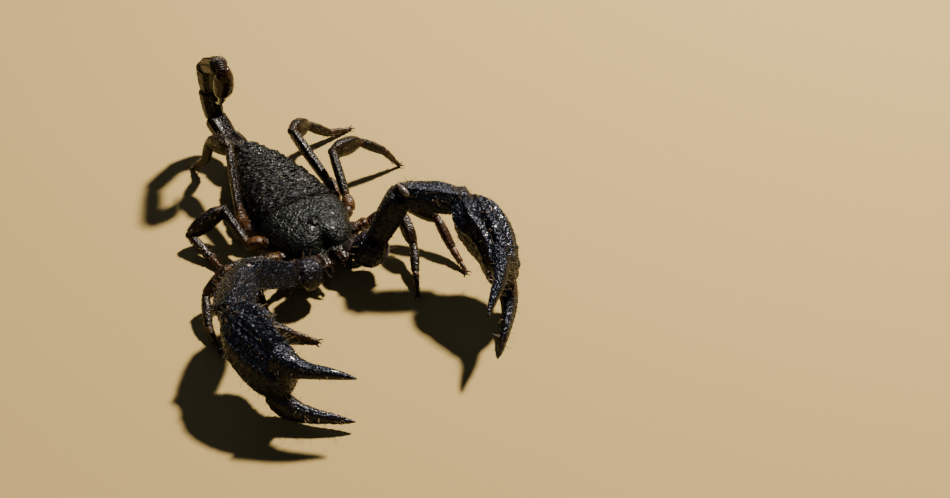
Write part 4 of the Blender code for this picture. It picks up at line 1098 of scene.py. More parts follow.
arm = {
    "upperLong": 18.4, "foreLong": 16.3, "roll": {"left": 0, "right": 45},
    "left": ((74, 61), (56, -8), (-24, -10), 13, 45), "right": ((88, 28), (38, 7), (-29, -5), 9, 37),
    "hand": ((-0.6, 2.2, 2.0, 0.0, 0.25), (0.2, 3.2, 2.9, 0.1, 0.4), (1.2, 4.2, 3.8, 0.2, 0.6),
        (4.0, 6.4, 5.4, 1.2, 1.3), (8.0, 7.8, 6.1, 2.2, 2.2), (12.0, 8.2, 5.3, 3.0, 3.6),
        (16.0, 7.6, 4.5, 3.8, 4.4), (19.0, 6.5, 3.9, 4.2, 4.3), (20.5, 5.6, 3.1, 3.9, 4.3)),
    "fixed": ((16.5, 4.0, 3.3, 0.6, 4.6), (20.5, 2.8, 2.4, 0.8, 4.6), (24.5, 1.9, 1.7, 0.5, 4.0),
        (28.5, 1.45, 1.35, 0.1, 2.4), (32.0, 0.85, 0.8, 0.1, 0.8), (34.1, 0.3, 0.36, 0.1, 0.0)),
    "moving": ((-4.0, 1.8, 2.0, -1.2, 0.0), (-1.5, 2.8, 2.5, -0.4, 0.0), (1.0, 3.1, 2.4, 0.5, 0.0),
        (4.5, 2.5, 1.9, 1.0, -0.5), (8.2, 1.95, 1.5, 0.7, -1.5), (11.8, 1.4, 1.2, 0.3, -2.9),
        (14.8, 0.8, 0.8, 0.0, -4.15), (16.4, 0.32, 0.36, -0.2, -4.9)),
    "elbowRim": {  # pale hinge rims, from the elbow's middle: pale joint rims, with a painted highlight where they catch the light
        "left": ((-0.93, 0.39, 3.04), (-0.75, -1.2, 2.75), (-0.42, -2.38, 2.15), (0.9, -3.1, 0.2)),
        "right": ((-0.7, -2.2, 2.3), (0.3, -2.9, 1.5), (0.95, -3.2, 0.5), (1.25, -3.3, -1.1))},
    "knobRim": {  # pale far rims of the knobs: pale rims, with a painted highlight on their lit far side
        "left": ((2.9, 0.3, 3.2), (3.75, -0.5, 2.3), (3.8, -2.0, 0.7), (2.95, -3.1, -0.8), (1.1, -3.6, -2.3)),
        "right": ((-1.9, -0.4, 3.0), (-2.6, -1.6, 2.0), (-2.4, -2.8, 0.6), (-1.6, -3.3, -1.0))},
    "pivot": (18.6, 12.3, 4.4), "closed": -34,
    "upperSections": ((0.30, 3.0, 2.7, 2.7), (0.45, 3.3, 2.95, 2.95), (0.62, 3.5, 3.1, 3.1),
        (0.85, 3.6, 3.1, 3.2), (0.93, 3.45, 3.0, 3.1), (0.985, 3.0, 2.6, 2.8)),
    "foreSections": ((-0.02, 2.5, 2.3, 2.3), (0.03, 2.95, 2.7, 2.8), (0.14, 3.3, 3.0, 3.15),
        (0.30, 3.6, 3.2, 3.4), (0.5, 3.65, 3.25, 3.4), (0.65, 3.6, 3.2, 3.3), (0.84, 3.3, 3.0, 3.0),
        (0.93, 3.05, 2.75, 2.75), (0.985, 2.6, 2.4, 2.4)),
    "grains": {"perMm2": 4.2, "gap": 0.34, "small": 0.08, "large": 0.24, "height": 0.75},
    "fingerGrains": {"perMm2": 3.5, "gap": 0.34, "small": 0.07, "large": 0.18, "height": 0.75},
    "bristles": {"perMm2": 0.55, "short": 0.6, "long": 2.6, "lean": 0.3},
}


def handFrame(side, turn, roll):
    along = heading(*turn, side)
    down = upright(along, (0, 0, -1))
    out = np.cross(along, down)
    out = out if out[0] * side > 0 else -out
    tilt = math.radians(roll)
    width = down * math.cos(tilt) + out * math.sin(tilt)
    return along, width, out * math.cos(tilt) - down * math.sin(tilt)


def claw(origin, axes, table, begin, end, cols, rows, power, **more):
    # table: place, half width, half thickness, shift across and shift outward
    along, width, outward = axes
    at = np.linspace(begin, end, rows)
    half, thick, shift, out = flow(table, at).T
    centres = origin + np.outer(at, along) + np.outer(shift, width) + np.outer(out, outward)
    return wrap(centres, width, outward, np.stack([half, thick, thick], 1), power, cols, **more)


def fuse(piece, cell, rounds):  # melts a piece's shells into one skin
    old = piece.data
    tree = kdtree.KDTree(len(old.vertices))
    for i, vert in enumerate(old.vertices):
        tree.insert(vert.co, i)
    tree.balance()
    melt = piece.modifiers.new("melt", "REMESH")
    melt.mode, melt.voxel_size, melt.use_smooth_shade = "VOXEL", cell * mm, True
    soften = piece.modifiers.new("soften", "SMOOTH")
    soften.factor, soften.iterations = 0.5, rounds
    mesh = evaluated(piece)
    piece.modifiers.clear()
    nearest = np.array([tree.find(vert.co)[1] for vert in mesh.vertices])
    for field in (*fieldNames, "lie", "skinUv"):
        kind, wide = ("value", 1) if field in fieldNames else ("vector", 3)
        values = np.empty(len(old.vertices) * wide)
        old.attributes[field].data.foreach_get(kind, values)
        store(mesh, field, kind, values.reshape(-1, wide)[nearest])
    mesh.materials.clear()
    mesh.materials.append(old.materials[0])
    piece.data = mesh
    mesh.name = piece.name


palmLines = (  # angle, begin, end and bead radius of the keels on the palm
    (197, 0.12, 1.0, 0.24), (168, 0.08, 0.66, 0.22), (146, 0.10, 0.98, 0.24), (122, 0.10, 0.96, 0.21),
    (96, 0.10, 0.92, 0.20), (66, 0.12, 0.9, 0.18),
    (34, 0.15, 0.9, 0.17), (2, 0.2, 0.9, 0.17), (232, 0.12, 0.98, 0.19), (268, 0.12, 0.95, 0.17),
    (304, 0.12, 0.95, 0.17))


def palmRelief(share, angle, p, side):
    keels = sum(
        size * 1.5 * ridge(angle, line, 4.5) * stretch(share, begin, end, 0.08)
        for line, begin, end, size in palmLines)
    shoulder = 0.95 * ridge(angle, 230, 20) * stretch(share, 0.06, 0.62, 0.15)
    if side < 0:  # the right palm has one flat face below a sharp crest
        face = np.clip(1 - ((np.degrees(angle) % 360 - 141) / 51) ** 2, 0, 1)
        crest = 0.40 * ridge(angle, 196, 8) * stretch(share, 0.10, 0.98, 0.15)
        cut = face * (1.4 * stretch(share, 0.02, 1.0, 0.12) + 0.9 * stretch(share, 0.18, 1.0, 0.15))
        uneven = 0.10 * lumps(p, 2.0, 3)
        return keels * (1 - 0.65 * np.sqrt(face)) + shoulder + crest - cut + uneven + 0.05 * lumps(p, 0.8, 9)
    upper = (0.3 * ridge(angle, 110, 13) - 0.3 * ridge(angle, 140, 12)) * stretch(share, 0.2, 0.95, 0.15)
    deep = 0.75 * ridge(angle, 183, 8.5) * stretch(share, 0.36, 0.98, 0.2)
    hollow = -deep - 0.42 * ridge(angle, 157, 5) * stretch(share, 0.08, 0.62, 0.12)
    flats = ridges(angle, (109, 81), 6) + ridge(angle, 214, 8) + ridge(angle, 250, 7) + ridge(angle, 134, 5)
    keels = keels + shoulder + upper + hollow - 0.22 * flats * stretch(share, 0.12, 0.95, 0.15)
    return keels + 0.10 * lumps(p, 2.0, 3) + 0.06 * lumps(p, 0.8, 9)


def palmGrain(share, angle, p):
    smooth = 0.75 * ridge(angle, 184, 7) * stretch(share, 0.38, 0.95, 0.12)
    return np.clip((0.95 - smooth + 0.2 * lumps(p, 1.5, 5)) * stretch(share, 0.04, 1.1), 0, 1)


def boxKeels(long, tops, under, seed):  # the beaded edges of an arm segment
    def relief(share, angle, p):
        body = stretch(share, 0.03, 0.98, 0.06)
        upper = keel(share, angle, (45, 135), long, 6.5, 0.62) * tops
        lines = upper + keel(share, angle, (225, 315), long, 6.0, 0.58) * under
        middle = keel(share, angle, (90, 180, 0), long, 4.0, 0.5) * 0.10
        waist = -0.10 * ridges(angle, (90, 0, 180), 22) * stretch(share, 0.1, 0.9, 0.2)
        return body * (lines + middle) + waist + 0.06 * lumps(p, 1.5, seed) + 0.14 * spot(share, 0.965, 0.02)
    return relief


knobShape = (
    (-0.88, 0.45), (-0.70, 0.74), (-0.42, 0.93, 0.92), (-0.1, 1.0, 0.98), (0.3, 0.99, 0.98), (0.6, 0.88),
    (0.84, 0.72))
beadRows = {  # angle and bead radius of the rows on the arm's edges
    "upper": ((45, 0.21), (135, 0.21), (225, 0.18), (315, 0.18), (90, 0.10)),
    "fore": ((45, 0.22), (135, 0.22), (225, 0.19), (315, 0.19), (90, 0.14), (270, 0.12)),
}
rimRadii = {"elbow": (0.30, 0.72, 0.80, 0.45), "knob": (0.15, 0.46, 0.50, 0.40, 0.12)}


def knobRelief(share, angle, p):
    keels = 0.22 * keel(share, angle, (45, 135, 225, 315), 6.5, 8, 0.6) * stretch(share, 0.25, 1.0)
    return keels + 0.16 * spot(share, 0.93, 0.04) + 0.06 * lumps(p, 1.4, 3)


def knobTint(share, angle, p):
    return np.clip(0.75 - 0.4 * lumps(p, 2.2, 5), 0, 1) * (0.5 + 0.5 * stretch(share, 0.5, 2.0, 0.3))


def foreRelief(side):
    keels = boxKeels(15.5, 0.46, 0.34, 8)
    height, place, line, width = (0.75, 0.55, 112, 22) if side > 0 else (0.55, 0.62, 228,
        9)  # of the raised edge

    def relief(share, angle, p):
        ridgeLine = 0.35 * keel(share, angle, (90,), 15.5, 5, 0.8) * stretch(share, 0.1, 0.75, 0.15)
        corners = 0.45 * spot(share, 0.93, 0.025) * ridges(angle, (45, 135), 10)
        crest = height * spot(share, place, 0.17) * ridge(angle, line, width)
        knuckle = 0.45 * spot(share, 0.90, 0.05) * ridge(angle, 112, 30)
        waist = 0.35 * spot(share, 0.80, 0.03) * ridge(angle, 112, 30)
        return keels(share, angle, p) + ridgeLine + corners + crest + knuckle - waist
    return relief


def edgeHair(share, angle, p):
    return 0.25 + ridge(angle, 45, 14) + ridge(angle, 135, 14)


def fixedRelief(share, angle, p):
    keels = 0.20 * keel(share, angle, (90, 150, 215), 18, 8, 0.55) * stretch(share, 0.12, 0.8, 0.2)
    return keels + 0.10 * ridge(angle, 0, 16) * stretch(share, 0.25, 0.97, 0.1)


def movingRelief(share, angle, p):
    keels = 0.20 * keel(share, angle, (40, 90, 140), 18, 7, 0.55) * stretch(share, 0.14, 0.8, 0.15)
    edge = 0.10 * ridge(angle, 180, 16) * stretch(share, 0.3, 0.97, 0.1)
    return keels + edge + 0.05 * lumps(p, 1.3, 4) + 0.12 * spot(share, 0.09, 0.02)


def edgeBeads(name, kind, label, shell, begin, end, seed):
    rows = tuple((line, begin, end, size) for line, size in beadRows[kind])
    addRows(name, "arm_black", f"arm_{kind}_{label}", shell, rows, 0.52, finish["blueBlackArmChitin"], seed)


def toothRow(name, slotName, node, origin, axes, table, begin, end, edge, seed):  # edge: 1 or -1
    at = np.linspace(begin, end, 40)
    half, _, shift, out = flow(table, at).T
    along, width, outward = axes
    path = origin + np.outer(at, along) + np.outer(shift + edge * half * 0.97, width) + np.outer(out, outward)
    sizes = np.linspace(0.24, 0.13, 40)
    fit(addBeads(name, path, sizes, 0.40, finish["brownFingerChitin"], seed, (1, 1, 1)), slotName, node)


for side, label in ((-1, "right"), (1, "left")):
    upperTurn, foreTurn, handTurn, roll, opening = arm[label]
    armLook = finish["blueBlackArmChitin"]
    knob = onSide(armRoot, side)
    upper, fore = heading(*upperTurn, side), heading(*foreTurn, side)
    axes = handFrame(side, handTurn, roll)
    along, width, outward = axes
    elbow = knob + upper * arm["upperLong"]
    wrist = elbow + fore * arm["foreLong"]
    up = rolled(upright(upper, fore), upper, arm["roll"][label])
    r = knobRadius * (1.17 if side > 0 else 1.06)
    fields = {"grain": within(0.8, 0.1, 1.1), "tint": knobTint, "hair": 0.35}
    shell = limb(knob, upper, r, scaled(knobShape, r), up, 2.2, 84, 70,
        caps=(0.3, 0.3), relief=knobRelief, fields=fields)
    piece = makePiece(f"armKnob_{label}", [shell], armLook)
    dress(piece, "arm_black", f"arm_knob_{label}", f"knobBristles_{label}", arm["bristles"], 80 + side,
        arm["grains"], 82 + side)

    begin = r * 0.80 / arm["upperLong"]  # where the segment comes out of its knob
    sections = ((begin, 1.7, 1.7, 1.7), (begin + 0.04, 2.2, 2.1, 2.1), *arm["upperSections"])
    shell = limb(knob, upper, arm["upperLong"], sections, up, 4.2 if side < 0 else 3.0, 88, 118,
        caps=(0.3, 0.4),
        relief=boxKeels(15.0, 0.42, 0.34, 4), fields={
            "grain": within(0.85, 0.04, 1.02), "hair": edgeHair,
            "tint": ends(0.6, 0.1, 0.08, 0.5, 0.95, 0.04),
            "glaze": patches(0.25, 1.6, 5)})
    edgeBeads(f"upperBeads_{label}", "upper", label, shell, 0.06, 0.97, 7)
    shells = [shell, jointBall(elbow, upper, fore, 2.75, fields={"grain": 0.2})]
    piece = makePiece(f"armUpper_{label}", shells, armLook)
    dress(piece, "arm_black", f"arm_upper_{label}", f"upperBristles_{label}", arm["bristles"], 84 + side,
        arm["grains"], 86 + side)

    up = rolled(upright(fore, outward), fore, arm["roll"][label])
    shell = limb(elbow, fore, arm["foreLong"], arm["foreSections"], up, 5.5 if side < 0 else 2.8, 88, 118,
        caps=(0.4, 0.35), relief=foreRelief(side), fields={
            "grain": within(0.85, 0.03, 1.02), "hair": edgeHair,
            "tint": ends(0.5, 0.05, 0.05, 0.45, 0.96, 0.04),
            "glaze": patches(0.25, 1.6, 7)})
    edgeBeads(f"foreBeads_{label}", "fore", label, shell, 0.05, 0.95, 9)
    shells = [shell, jointBall(wrist, fore, along, 2.3, fields={"grain": 0.2})]
    piece = makePiece(f"armFore_{label}", shells, armLook)
    dress(piece, "arm_black", f"arm_fore_{label}", f"foreBristles_{label}", arm["bristles"], 88 + side,
        arm["grains"], 90 + side)

    palm = claw(wrist, axes, arm["hand"], -0.6, 20.5, 132, 130, 2.3, caps=(0.3, 0.9),
        relief=lambda s, a, p: palmRelief(s, a, p, side), fields={
            "grain": lambda s, a, p: palmGrain(s, a, p) * (1 - 0.5 * (side < 0) * ridge(a, 141, 30)),
            "hair": lambda s, a, p: 0.3 + 0.9 * ridge(a, 180, 25) + 0.4 * ridge(a, 0, 20),
            "tint": ends(0.6, 0.06, 0.06, 0.35, 0.96, 0.05), "glaze": patches(0.30, 1.6, 11)})
    rows = tuple(  # finer beads on the right palm's flat face
        (line, begin, end, size * (0.45 if side < 0 and 100 < line < 190 else 1.0))
        for line, begin, end, size in palmLines)
    addRows(f"handBeads_{label}", "arm_black", f"hand_{label}", palm, rows, 0.55, armLook, 11)
    fields = {"hair": 0.5, "tint": within(0.8, 0.72, 2, 0.25)}
    fields["grain"] = lambda s, a, p: 0.7 * (1 - stretch(s, 0.45, 2, 0.35))
    finger = claw(wrist, axes, arm["fixed"], 16.5, 34.1, 64, 110, 2.2,
        caps=(0.5, 0.5), relief=fixedRelief, fields=fields)
    piece = makePiece(f"hand_{label}", [palm, finger], armLook)
    fuse(piece, 0.17, 3)
    dress(piece, "arm_black", f"hand_{label}", f"handBristles_{label}", arm["bristles"], 92 + side,
        arm["grains"], 94 + side)
    toothRow(f"fixedFingerTeeth_{label}", "arm_black", f"hand_{label}", wrist, axes, arm["fixed"], 21.0,
        33.4, 1, 5)

    pivot = wrist + along * arm["pivot"][0] + width * arm["pivot"][1] + outward * arm["pivot"][2]
    swing = math.radians(arm["closed"] + opening)
    reach = along * math.cos(swing) + width * math.sin(swing)
    cross = width * math.cos(swing) - along * math.sin(swing)
    fingerAxes = (reach, cross, outward)
    rims = ends(0.9, 0.22, 0.16, 0.85, 0.68, 0.25)
    fields = {"grain": within(0.7, 0.06, 0.6, 0.2), "hair": 0.5,
        "tint": lambda s, a, p: np.clip(rims(s, a, p), 0, 1)}
    shell = claw(pivot, fingerAxes, arm["moving"], -2.6, 16.4, 72, 130, 2.2,
        caps=(0.6, 0.5), relief=movingRelief, fields=fields)
    piece = makePiece(f"movingFinger_{label}", [shell], finish["brownFingerChitin"])
    dress(piece, "finger_black", f"moving_finger_{label}", f"fingerBristles_{label}", arm["bristles"],
        96 + side,
        arm["fingerGrains"], 98 + side)
    toothRow(f"movingFingerTeeth_{label}", "finger_black", f"moving_finger_{label}", pivot, fingerAxes,
        arm["moving"],
        3.5, 15.8, -1, 6)

    joints = (
        (knob + upper * r * 0.88, upper, upper, 2.3, 1.0), (elbow, upper, fore, 2.9, 1.2),
        (wrist, fore, along, 2.6, 1.1))
    skins = [foldSkin(*joint) for joint in joints]
    # Pale hinge knobs and rims: pale joint parts, and along the rims a painted highlight.
    knobs = [
        horn([elbow + np.array(v) for v in arm["elbowRim"][label]], rimRadii["elbow"], 24, 40),
        horn([knob + 1.06 * np.array(v) for v in arm["knobRim"][label]], rimRadii["knob"], 14, 40)]
    hinge = unit(np.cross(upper, fore))
    knobs.append(blob(elbow + hinge * 2.5, unit(upper + fore), hinge, (1.2, 0.7, 0.8), 28, 14))
    hinge = unit(np.cross(fore, along))
    for way in (hinge, -hinge):
        knobs.append(blob(wrist + way * 2.2, unit(fore + along), way, (0.75, 0.55, 0.6), 24, 12))
    for name, shells, look in (("Skin", skins, "amberJointSkin"), ("Knobs", knobs, "paleJointKnob")):
        fit(makePiece(f"armJoint{name}_{label}", shells, finish[look]), "arm_black", f"arm_fore_{label}")
    print("arm done:", label)


# --- legs ---

legs = {
    "footHalf": 0.55, "soleCut": 0.16,
    "lengths": ((11.4, 8.6, 7.4, 6.7), (12.9, 9.2, 8.5, 7.5), (16.4, 10.6, 8.5, 7.4), (22.3, 9.6, 8.9, 7.4)),
    "left": (((84, 24), (-5, -29), (-28, -26), -25), ((77, 20), (36, -14), (2, -36), 0),
        ((168, 27), (110, -16), (79, -37), 76), ((184, 18), (130, -26), (92, -40), 95)),
    "right": (((74, 6), (11, -29), (-34, -8), -45), ((86, 17), (80, -28), (22, -22), 2),
        ((177, 12), (94, -26), (-14, -18), -10), ((199, 27), (170, -18), (166, -68), 154)),
    "bentKnuckles": {"leg_right_3": (123, -12, 3.6), "leg_right_4": (190, 50, 3.6)},
    "shapes": {  # each segment's sections, as shares of the leg's half width
        "knuckle": ((-0.12, 0.72, 0.80), (0.1, 0.92, 1.0), (0.42, 1.0, 1.08), (0.75, 0.94, 1.02),
            (0.97, 0.76, 0.84)),
        "thigh": ((0.01, 0.50, 0.62), (0.06, 0.62, 0.80), (0.18, 0.68, 0.94), (0.45, 0.71, 1.04),
            (0.73, 0.71, 1.07), (0.90, 0.66, 0.98), (0.98, 0.56, 0.78)),
        "kneeStart": ((-0.04, 0.46, 0.62, 0.56), (0.02, 0.62, 0.92, 0.82)),
        "knee": ((0.12, 0.76, 1.12, 1.02), (0.40, 0.85, 1.32, 1.25), (0.75, 0.80, 1.16, 1.20)),
        "kneeEnd": ((0.93, 0.70, 0.94, 0.96), (0.985, 0.56, 0.72)),
        "shin": ((-0.05, 0.6, 0.66), (0.04, 0.76, 0.86), (0.14, 0.88, 0.98), (0.45, 1.0, 1.13),
            (0.80, 0.92, 1.0), (0.95, 0.82, 0.88), (0.99, 0.72, 0.78)),
        "ankle": ((0.0, 0.62, 0.70), (0.05, 0.70, 0.78), (0.40, 0.64, 0.72), (0.52, 0.60, 0.68),
            (0.565, 0.50, 0.56)),
        "foot": ((0.56, 0.75, 0.8), (0.62, 0.95, 1.05), (0.75, 1.0, 1.12), (0.90, 0.95, 1.02),
            (0.97, 0.8, 0.85))},
    "kneeFull": (1.27, 1.05, 1.15, 1.15), "shinFull": (1.12, 1.12, 1.0, 1.0),
    "bristles": {"perMm2": 0.9, "short": 0.4, "long": 1.5, "lean": 0.9},
    "grains": {"perMm2": 3.0, "gap": 0.3, "small": 0.05, "large": 0.13, "height": 0.8},
}


def legRelief(long, rows, height, seed):
    def relief(share, angle, p):
        lines = keel(share, angle, rows, long, 9, 0.5) * height * stretch(share, 0.08, 0.96, 0.08)
        return lines + 0.035 * lumps(p, 1.1, seed) + 0.09 * spot(share, 0.96, 0.03) + 0.05 * spot(share,
            0.03, 0.02)
    return relief


def legPiece(name, part, shells, look, slotName, seed):
    piece = makePiece(f"{name}_{part}", shells, look)
    dress(piece, slotName, f"{name}_{part}", f"{name}_{part}Bristles", legs["bristles"], seed,
        legs["grains"], seed)


def knuckleTint(share, angle, p):
    worn = 0.35 * spot(share, 0.6, 0.25) * (np.sin(angle) > -0.2)
    return np.clip(0.80 - worn + 0.3 * lumps(p, 1.5, 6), 0, 1)


def thighGlaze(share, angle, p):
    return 0.85 * stretch(share, 0.12, 0.97, 0.15) * np.clip(0.75 + 0.4 * lumps(p, 2.0, 4), 0, 1)


def kneeFields(name, number):
    # Amber tint on the knees, strongest on the first pair. The right second leg's knee gets far more than its
    # twin: that extra is painted light, where light falls on that knee.
    amberAndPaintedLight = 0.30 if number == 0 else 0.60 if name == "leg_right_2" else 0.06
    dark = 0.3 if number == 0 else 0.8
    rims = ends(0.12, 0.1, 0.08, 0.18, 0.93, 0.05)

    def glaze(share, angle, p):
        back = np.clip(0.35 + ridge(angle, 90, 30) + 0.5 * lumps(p, 1.6, 6), 0, 1)
        return dark * back * stretch(share, 0.08, 0.94, 0.1)

    return {
        "tint": lambda s, a, p: rims(s, a, p) + amberAndPaintedLight * np.clip(0.6 + 0.5 * lumps(p, 1.8, 9), 0, 1),
        "glaze": glaze, "grain": lambda s, a, p: 0.3 + 0.4 * ridge(a, 90, 40), "hair": 0.35}


def shinGlaze(share, angle, p):
    rims = 0.85 * spot(share, 0.93, 0.07) + 0.4 * spot(share, 0.06, 0.06)
    return np.clip(rims + 0.35 * np.clip(lumps(p, 1.5, 8), 0, 1), 0, 1)


knuckleFields = {"tint": knuckleTint, "glaze": lambda s, a, p: 0.4 * spot(s, 0.85, 0.12), "grain": 0.2,
    "hair": 0.3}
thighFields = {
    "tint": ends(0.35, 0.06, 0.08, 0.12, 0.93, 0.05), "glaze": thighGlaze,
    "grain": lambda s, a, p: 0.5 + 0.5 * ridge(a, 90, 30),
    "hair": lambda s, a, p: 0.2 + 0.5 * ridge(a, 270, 25) + 0.3 * ridge(a, 90, 25)}
shinFields = {"tint": ends(0.18, 0.1, 0.1, 0.22, 0.9, 0.06), "glaze": shinGlaze, "grain": 0.15, "hair": 0.8}
footFields = {
    "tint": lambda s, a, p: np.clip(0.30 + 0.25 * lumps(p, 1.0, 5), 0, 1),
    "glaze": lambda s, a, p: 0.5 * spot(s, 0.97, 0.06), "hair": 0.9}


def footHorns(ankle, toe, way, long, thick, foot):
    # paired claws, and the spurs and short spines under the foot
    up = upright(way)
    across = np.cross(way, up)
    flat = unit((way[0], way[1], 0))
    made = []
    for away in (-1, 1):
        base = toe - way * 0.35 + across * away * 0.28 + up * 0.12
        spread = unit(flat + across * away * 0.55)
        path = [base, base + spread * 0.55 + up * 0.22, base + spread * 1.0 + up * 0.10]
        path.append(base + spread * 1.32 - np.array((0, 0, 0.32)))
        made.append(horn(path, (0.20, 0.17, 0.11, 0.03), 10, 14, {"glaze": 1.0}))
        base = ankle + way * long * 0.55 - up * thick * 0.5 + across * away * thick * 0.4
        path = [base, base + way * 0.55 - up * 0.25 + across * away * 0.25]
        path.append(base + way * 1.0 - up * 0.3 + across * away * 0.4)
        made.append(horn(path, (0.16, 0.11, 0.02), 8, 8, {"glaze": 0.8}))
        for step in range(4):
            base = ankle + way * long * (0.62 + 0.09 * step) - up * foot * 0.8 + across * away * foot * 0.5
            path = [base, base + way * 0.28 - up * 0.2 + across * away * 0.12]
            made.append(horn(path, (0.075, 0.015), 6, 4, {"glaze": 0.9}))
    return made


for side, label in ((-1, "right"), (1, "left")):
    for number in range(4):
        pose, lengths, half = legs[label][number], legs["lengths"][number], legHalf[number]
        root, hip = onSide(legRoots[number], side), onSide(hips[number], side)
        name, seed = f"leg_{label}_{number + 1}", 100 + 10 * number + side
        ways = [heading(*turn, side) for turn in pose[:3]]
        knuckleWay, knuckleLong = ways[0], lengths[0] * 0.195
        if name in legs["bentKnuckles"]:
            knuckleWay, knuckleLong = heading(*legs["bentKnuckles"][name][:2],
                side), legs["bentKnuckles"][name][2]
        turn = hip + knuckleWay * knuckleLong
        places = [hip, turn + ways[0] * (lengths[0] - knuckleLong)]
        for way, long in zip(ways[1:], lengths[1:3]):
            places.append(places[-1] + way * long)
        foot = legs["footHalf"]  # the last segment tilts so that its sole lies on the floor
        drop = math.asin((foot - places[3][2]) / lengths[3])
        drop = math.degrees(math.asin((foot * math.cos(drop) - legs["soleCut"] - places[3][2]) / lengths[3]))
        ways.append(heading(pose[3], drop, side))
        places.append(places[3] + ways[3] * lengths[3])
        amberShin = label == "left" and number == 1
        look = finish["redBrownLegChitin"]
        shinLook, shinSlot = (finish["amberShinChitin"], "foot_amber") if amberShin else (look, "leg_brown")
        shapes = legs["shapes"]

        long, way = lengths[0] - knuckleLong, ways[0]
        shells = [
            limb(hip, knuckleWay, knuckleLong, scaled(shapes["knuckle"], half), None, 2.3, 44, 34,
                caps=(0.25, 0.25), relief=legRelief(knuckleLong, (50, 130, 270), 0.12, 2),
                fields=knuckleFields),
            limb(turn, way, long, scaled(shapes["thigh"], half), None, 2.6, 56, int(long / 0.14),
                caps=(0.25, 0.3), relief=legRelief(long, (70, 110, 250, 290), 0.20, 3), fields=thighFields),
            jointBall(turn, knuckleWay, way, half * 0.72, fields={"tint": 0.3})]
        rows = ((70, 0.1, 0.95, 0.075), (110, 0.1, 0.95, 0.075))
        addRows(f"{name}_thighBeads", "leg_brown", f"{name}_thigh", shells[1], rows, 0.30, look, seed)
        legPiece(name, "thigh", shells, look, "leg_brown", seed)

        long, way = lengths[1], ways[1]
        full = half * legs["kneeFull"][number]
        sections = scaled(shapes["kneeStart"], half) + scaled(shapes["knee"],
            full) + scaled(shapes["kneeEnd"], half)
        shells = [
            limb(places[1], way, long, sections, None, 2.4, 56, int(long / 0.13), caps=(0.3, 0.3),
                relief=legRelief(long, (62, 118, 180, 0, 262), 0.17, 5), fields=kneeFields(name, number)),
            jointBall(places[1], ways[0], way, half * 0.74, fields={"glaze": 0.8})]
        rows = ((62, 0.1, 0.93, 0.085), (118, 0.1, 0.93, 0.085))
        addRows(f"{name}_kneeBeads", "leg_brown", f"{name}_knee", shells[0], rows, 0.32, look, seed + 1)
        legPiece(name, "knee", shells, look, "leg_brown", seed + 2)

        thick = half * 0.72 * legs["shinFull"][number]
        long, way = lengths[2], ways[2]
        shells = [
            limb(places[2], way, long, scaled(shapes["shin"], thick), None, 2.2, 44, int(long / 0.16),
                caps=(0.3, 0.25), relief=legRelief(long, (60, 120, 270), 0.08, 7), fields=shinFields),
            jointBall(places[2], ways[1], way, half * 0.62, fields={"glaze": 0.7}),
            jointBall(places[3], way, ways[3], thick * 0.66, fields={"glaze": 0.5})]
        long, way = lengths[3], ways[3]
        shells.append(limb(places[3], way, long, scaled(shapes["ankle"], thick), None, 2.1, 40, 40,
            caps=(0.3, 0.2), relief=legRelief(long, (90, 270), 0.05, 8), fields=footFields))
        shells.append(limb(places[3], way, long, scaled(shapes["foot"], foot), None, 2.1, 40, 34,
            caps=(0.2, 0.25), relief=legRelief(long, (90,), 0.05, 9), fields=footFields))
        shells += footHorns(places[3], places[4], way, long, thick, foot)
        legPiece(name, "shin", shells, shinLook, shinSlot, seed + 4)

        joints = (  # place, the ways of both segments and the size of the soft skin
            (hip, unit(hip - root), knuckleWay, half * 0.98), (turn, knuckleWay, ways[0], half * 0.80),
            (places[1], ways[0], ways[1], half * 0.86), (places[2], ways[1], ways[2], half * 0.74),
            (places[3], ways[2], ways[3], thick * 0.80),
            (places[3] + way * long * 0.56, way, way, foot * 0.95))
        piece = makePiece(f"{name}_jointSkin", [foldSkin(*joint) for joint in joints],
            finish["amberJointSkin"])
        fit(piece, "leg_brown", f"{name}_knee")
    print("legs done:", label)

bpy.data.objects.remove(bristlePattern)


# --- floor, lights and camera ---

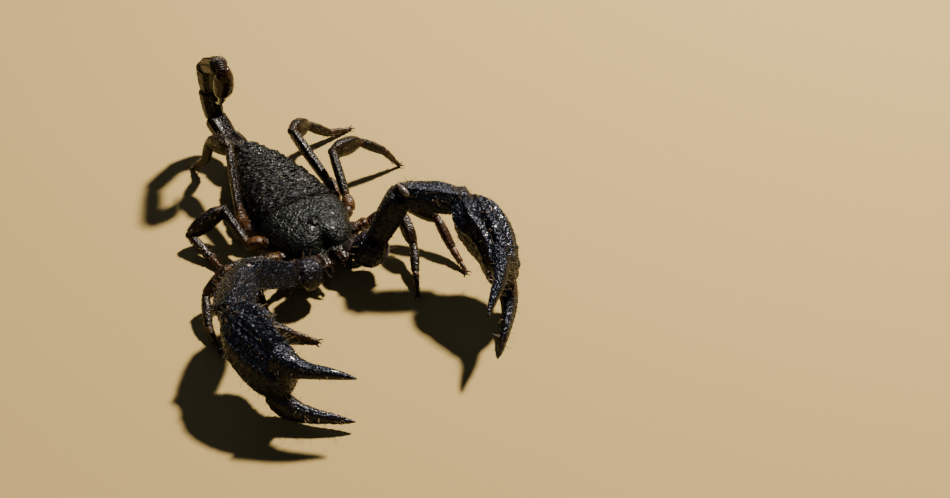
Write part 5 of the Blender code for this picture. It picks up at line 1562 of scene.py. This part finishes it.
stage = {"floor": "#958150", "world": "#b8caf2", "worldStrength": 0.06}
view = {"azimuth": -31.8, "elevation": 42.0, "distance": 0.403, "target": (35.5, -32.2, 0.0), "lens": 60.0,
    "sensor": 36.0}

floorData = bpy.data.meshes.new("floor")
floorData.from_pydata([(-3, -3, 0), (3, -3, 0), (3, 3, 0), (-3, 3, 0)], [], [(0, 1, 2, 3)])
paper = bpy.data.materials.new("mattPaperFloor")  # matt card: no gloss, very faint tooth
paper.use_nodes = True
shader = paper.node_tree.nodes["Principled BSDF"]
shader.inputs["Base Color"].default_value = toLinear(stage["floor"])
shader.inputs["Roughness"].default_value = 0.9
shader.inputs["Specular IOR Level"].default_value = 0.2
floorData.materials.append(paper)
floor = newObject("floor", floorData)

world = bpy.data.worlds.new("softRoom")
world.use_nodes = True
for number, value in enumerate((toLinear(stage["world"]), stage["worldStrength"])):
    world.node_tree.nodes["Background"].inputs[number].default_value = value
bpy.context.scene.world = world

centre = bodyShift * mm + np.array((0.004, -0.008, 0.006))
for name, toward, away, power, size, colour in (
    ("keyLight", (0.67, 0.20, 1.0), 0.75, 23.0, 0.05, "#fff3e2"),
    ("fillLight", (-0.5, -0.9, 0.9), 0.7, 0.22, 0.5, "#dfe8ff"),
    ("backLight", (0.3, 1.0, 0.5), 0.7, 0.35, 0.25, "#e6eeff"),
):
    data = bpy.data.lights.new(name, "AREA")
    data.energy, data.size, data.color = power, size, toLinear(colour)[:3]
    lamp = newObject(name, data)
    lamp.location = centre + unit(toward) * away
    lamp.rotation_euler = Vector(unit(toward)).to_track_quat("Z", "Y").to_euler()

turn, rise = math.radians(view["azimuth"]), math.radians(view["elevation"])
away = np.array((math.sin(turn) * math.cos(rise), -math.cos(turn) * math.cos(rise), math.sin(rise)))
cameraData = bpy.data.cameras.new("camera")
cameraData.lens, cameraData.sensor_width = view["lens"], view["sensor"]
cameraData.clip_start, cameraData.clip_end = 0.01, 20.0
camera = newObject("camera", cameraData)
camera.location = (np.array(view["target"]) + bodyShift) * mm + away * view["distance"]
camera.rotation_euler = Vector(away).to_track_quat("Z", "Y").to_euler()
bpy.context.scene.camera = camera
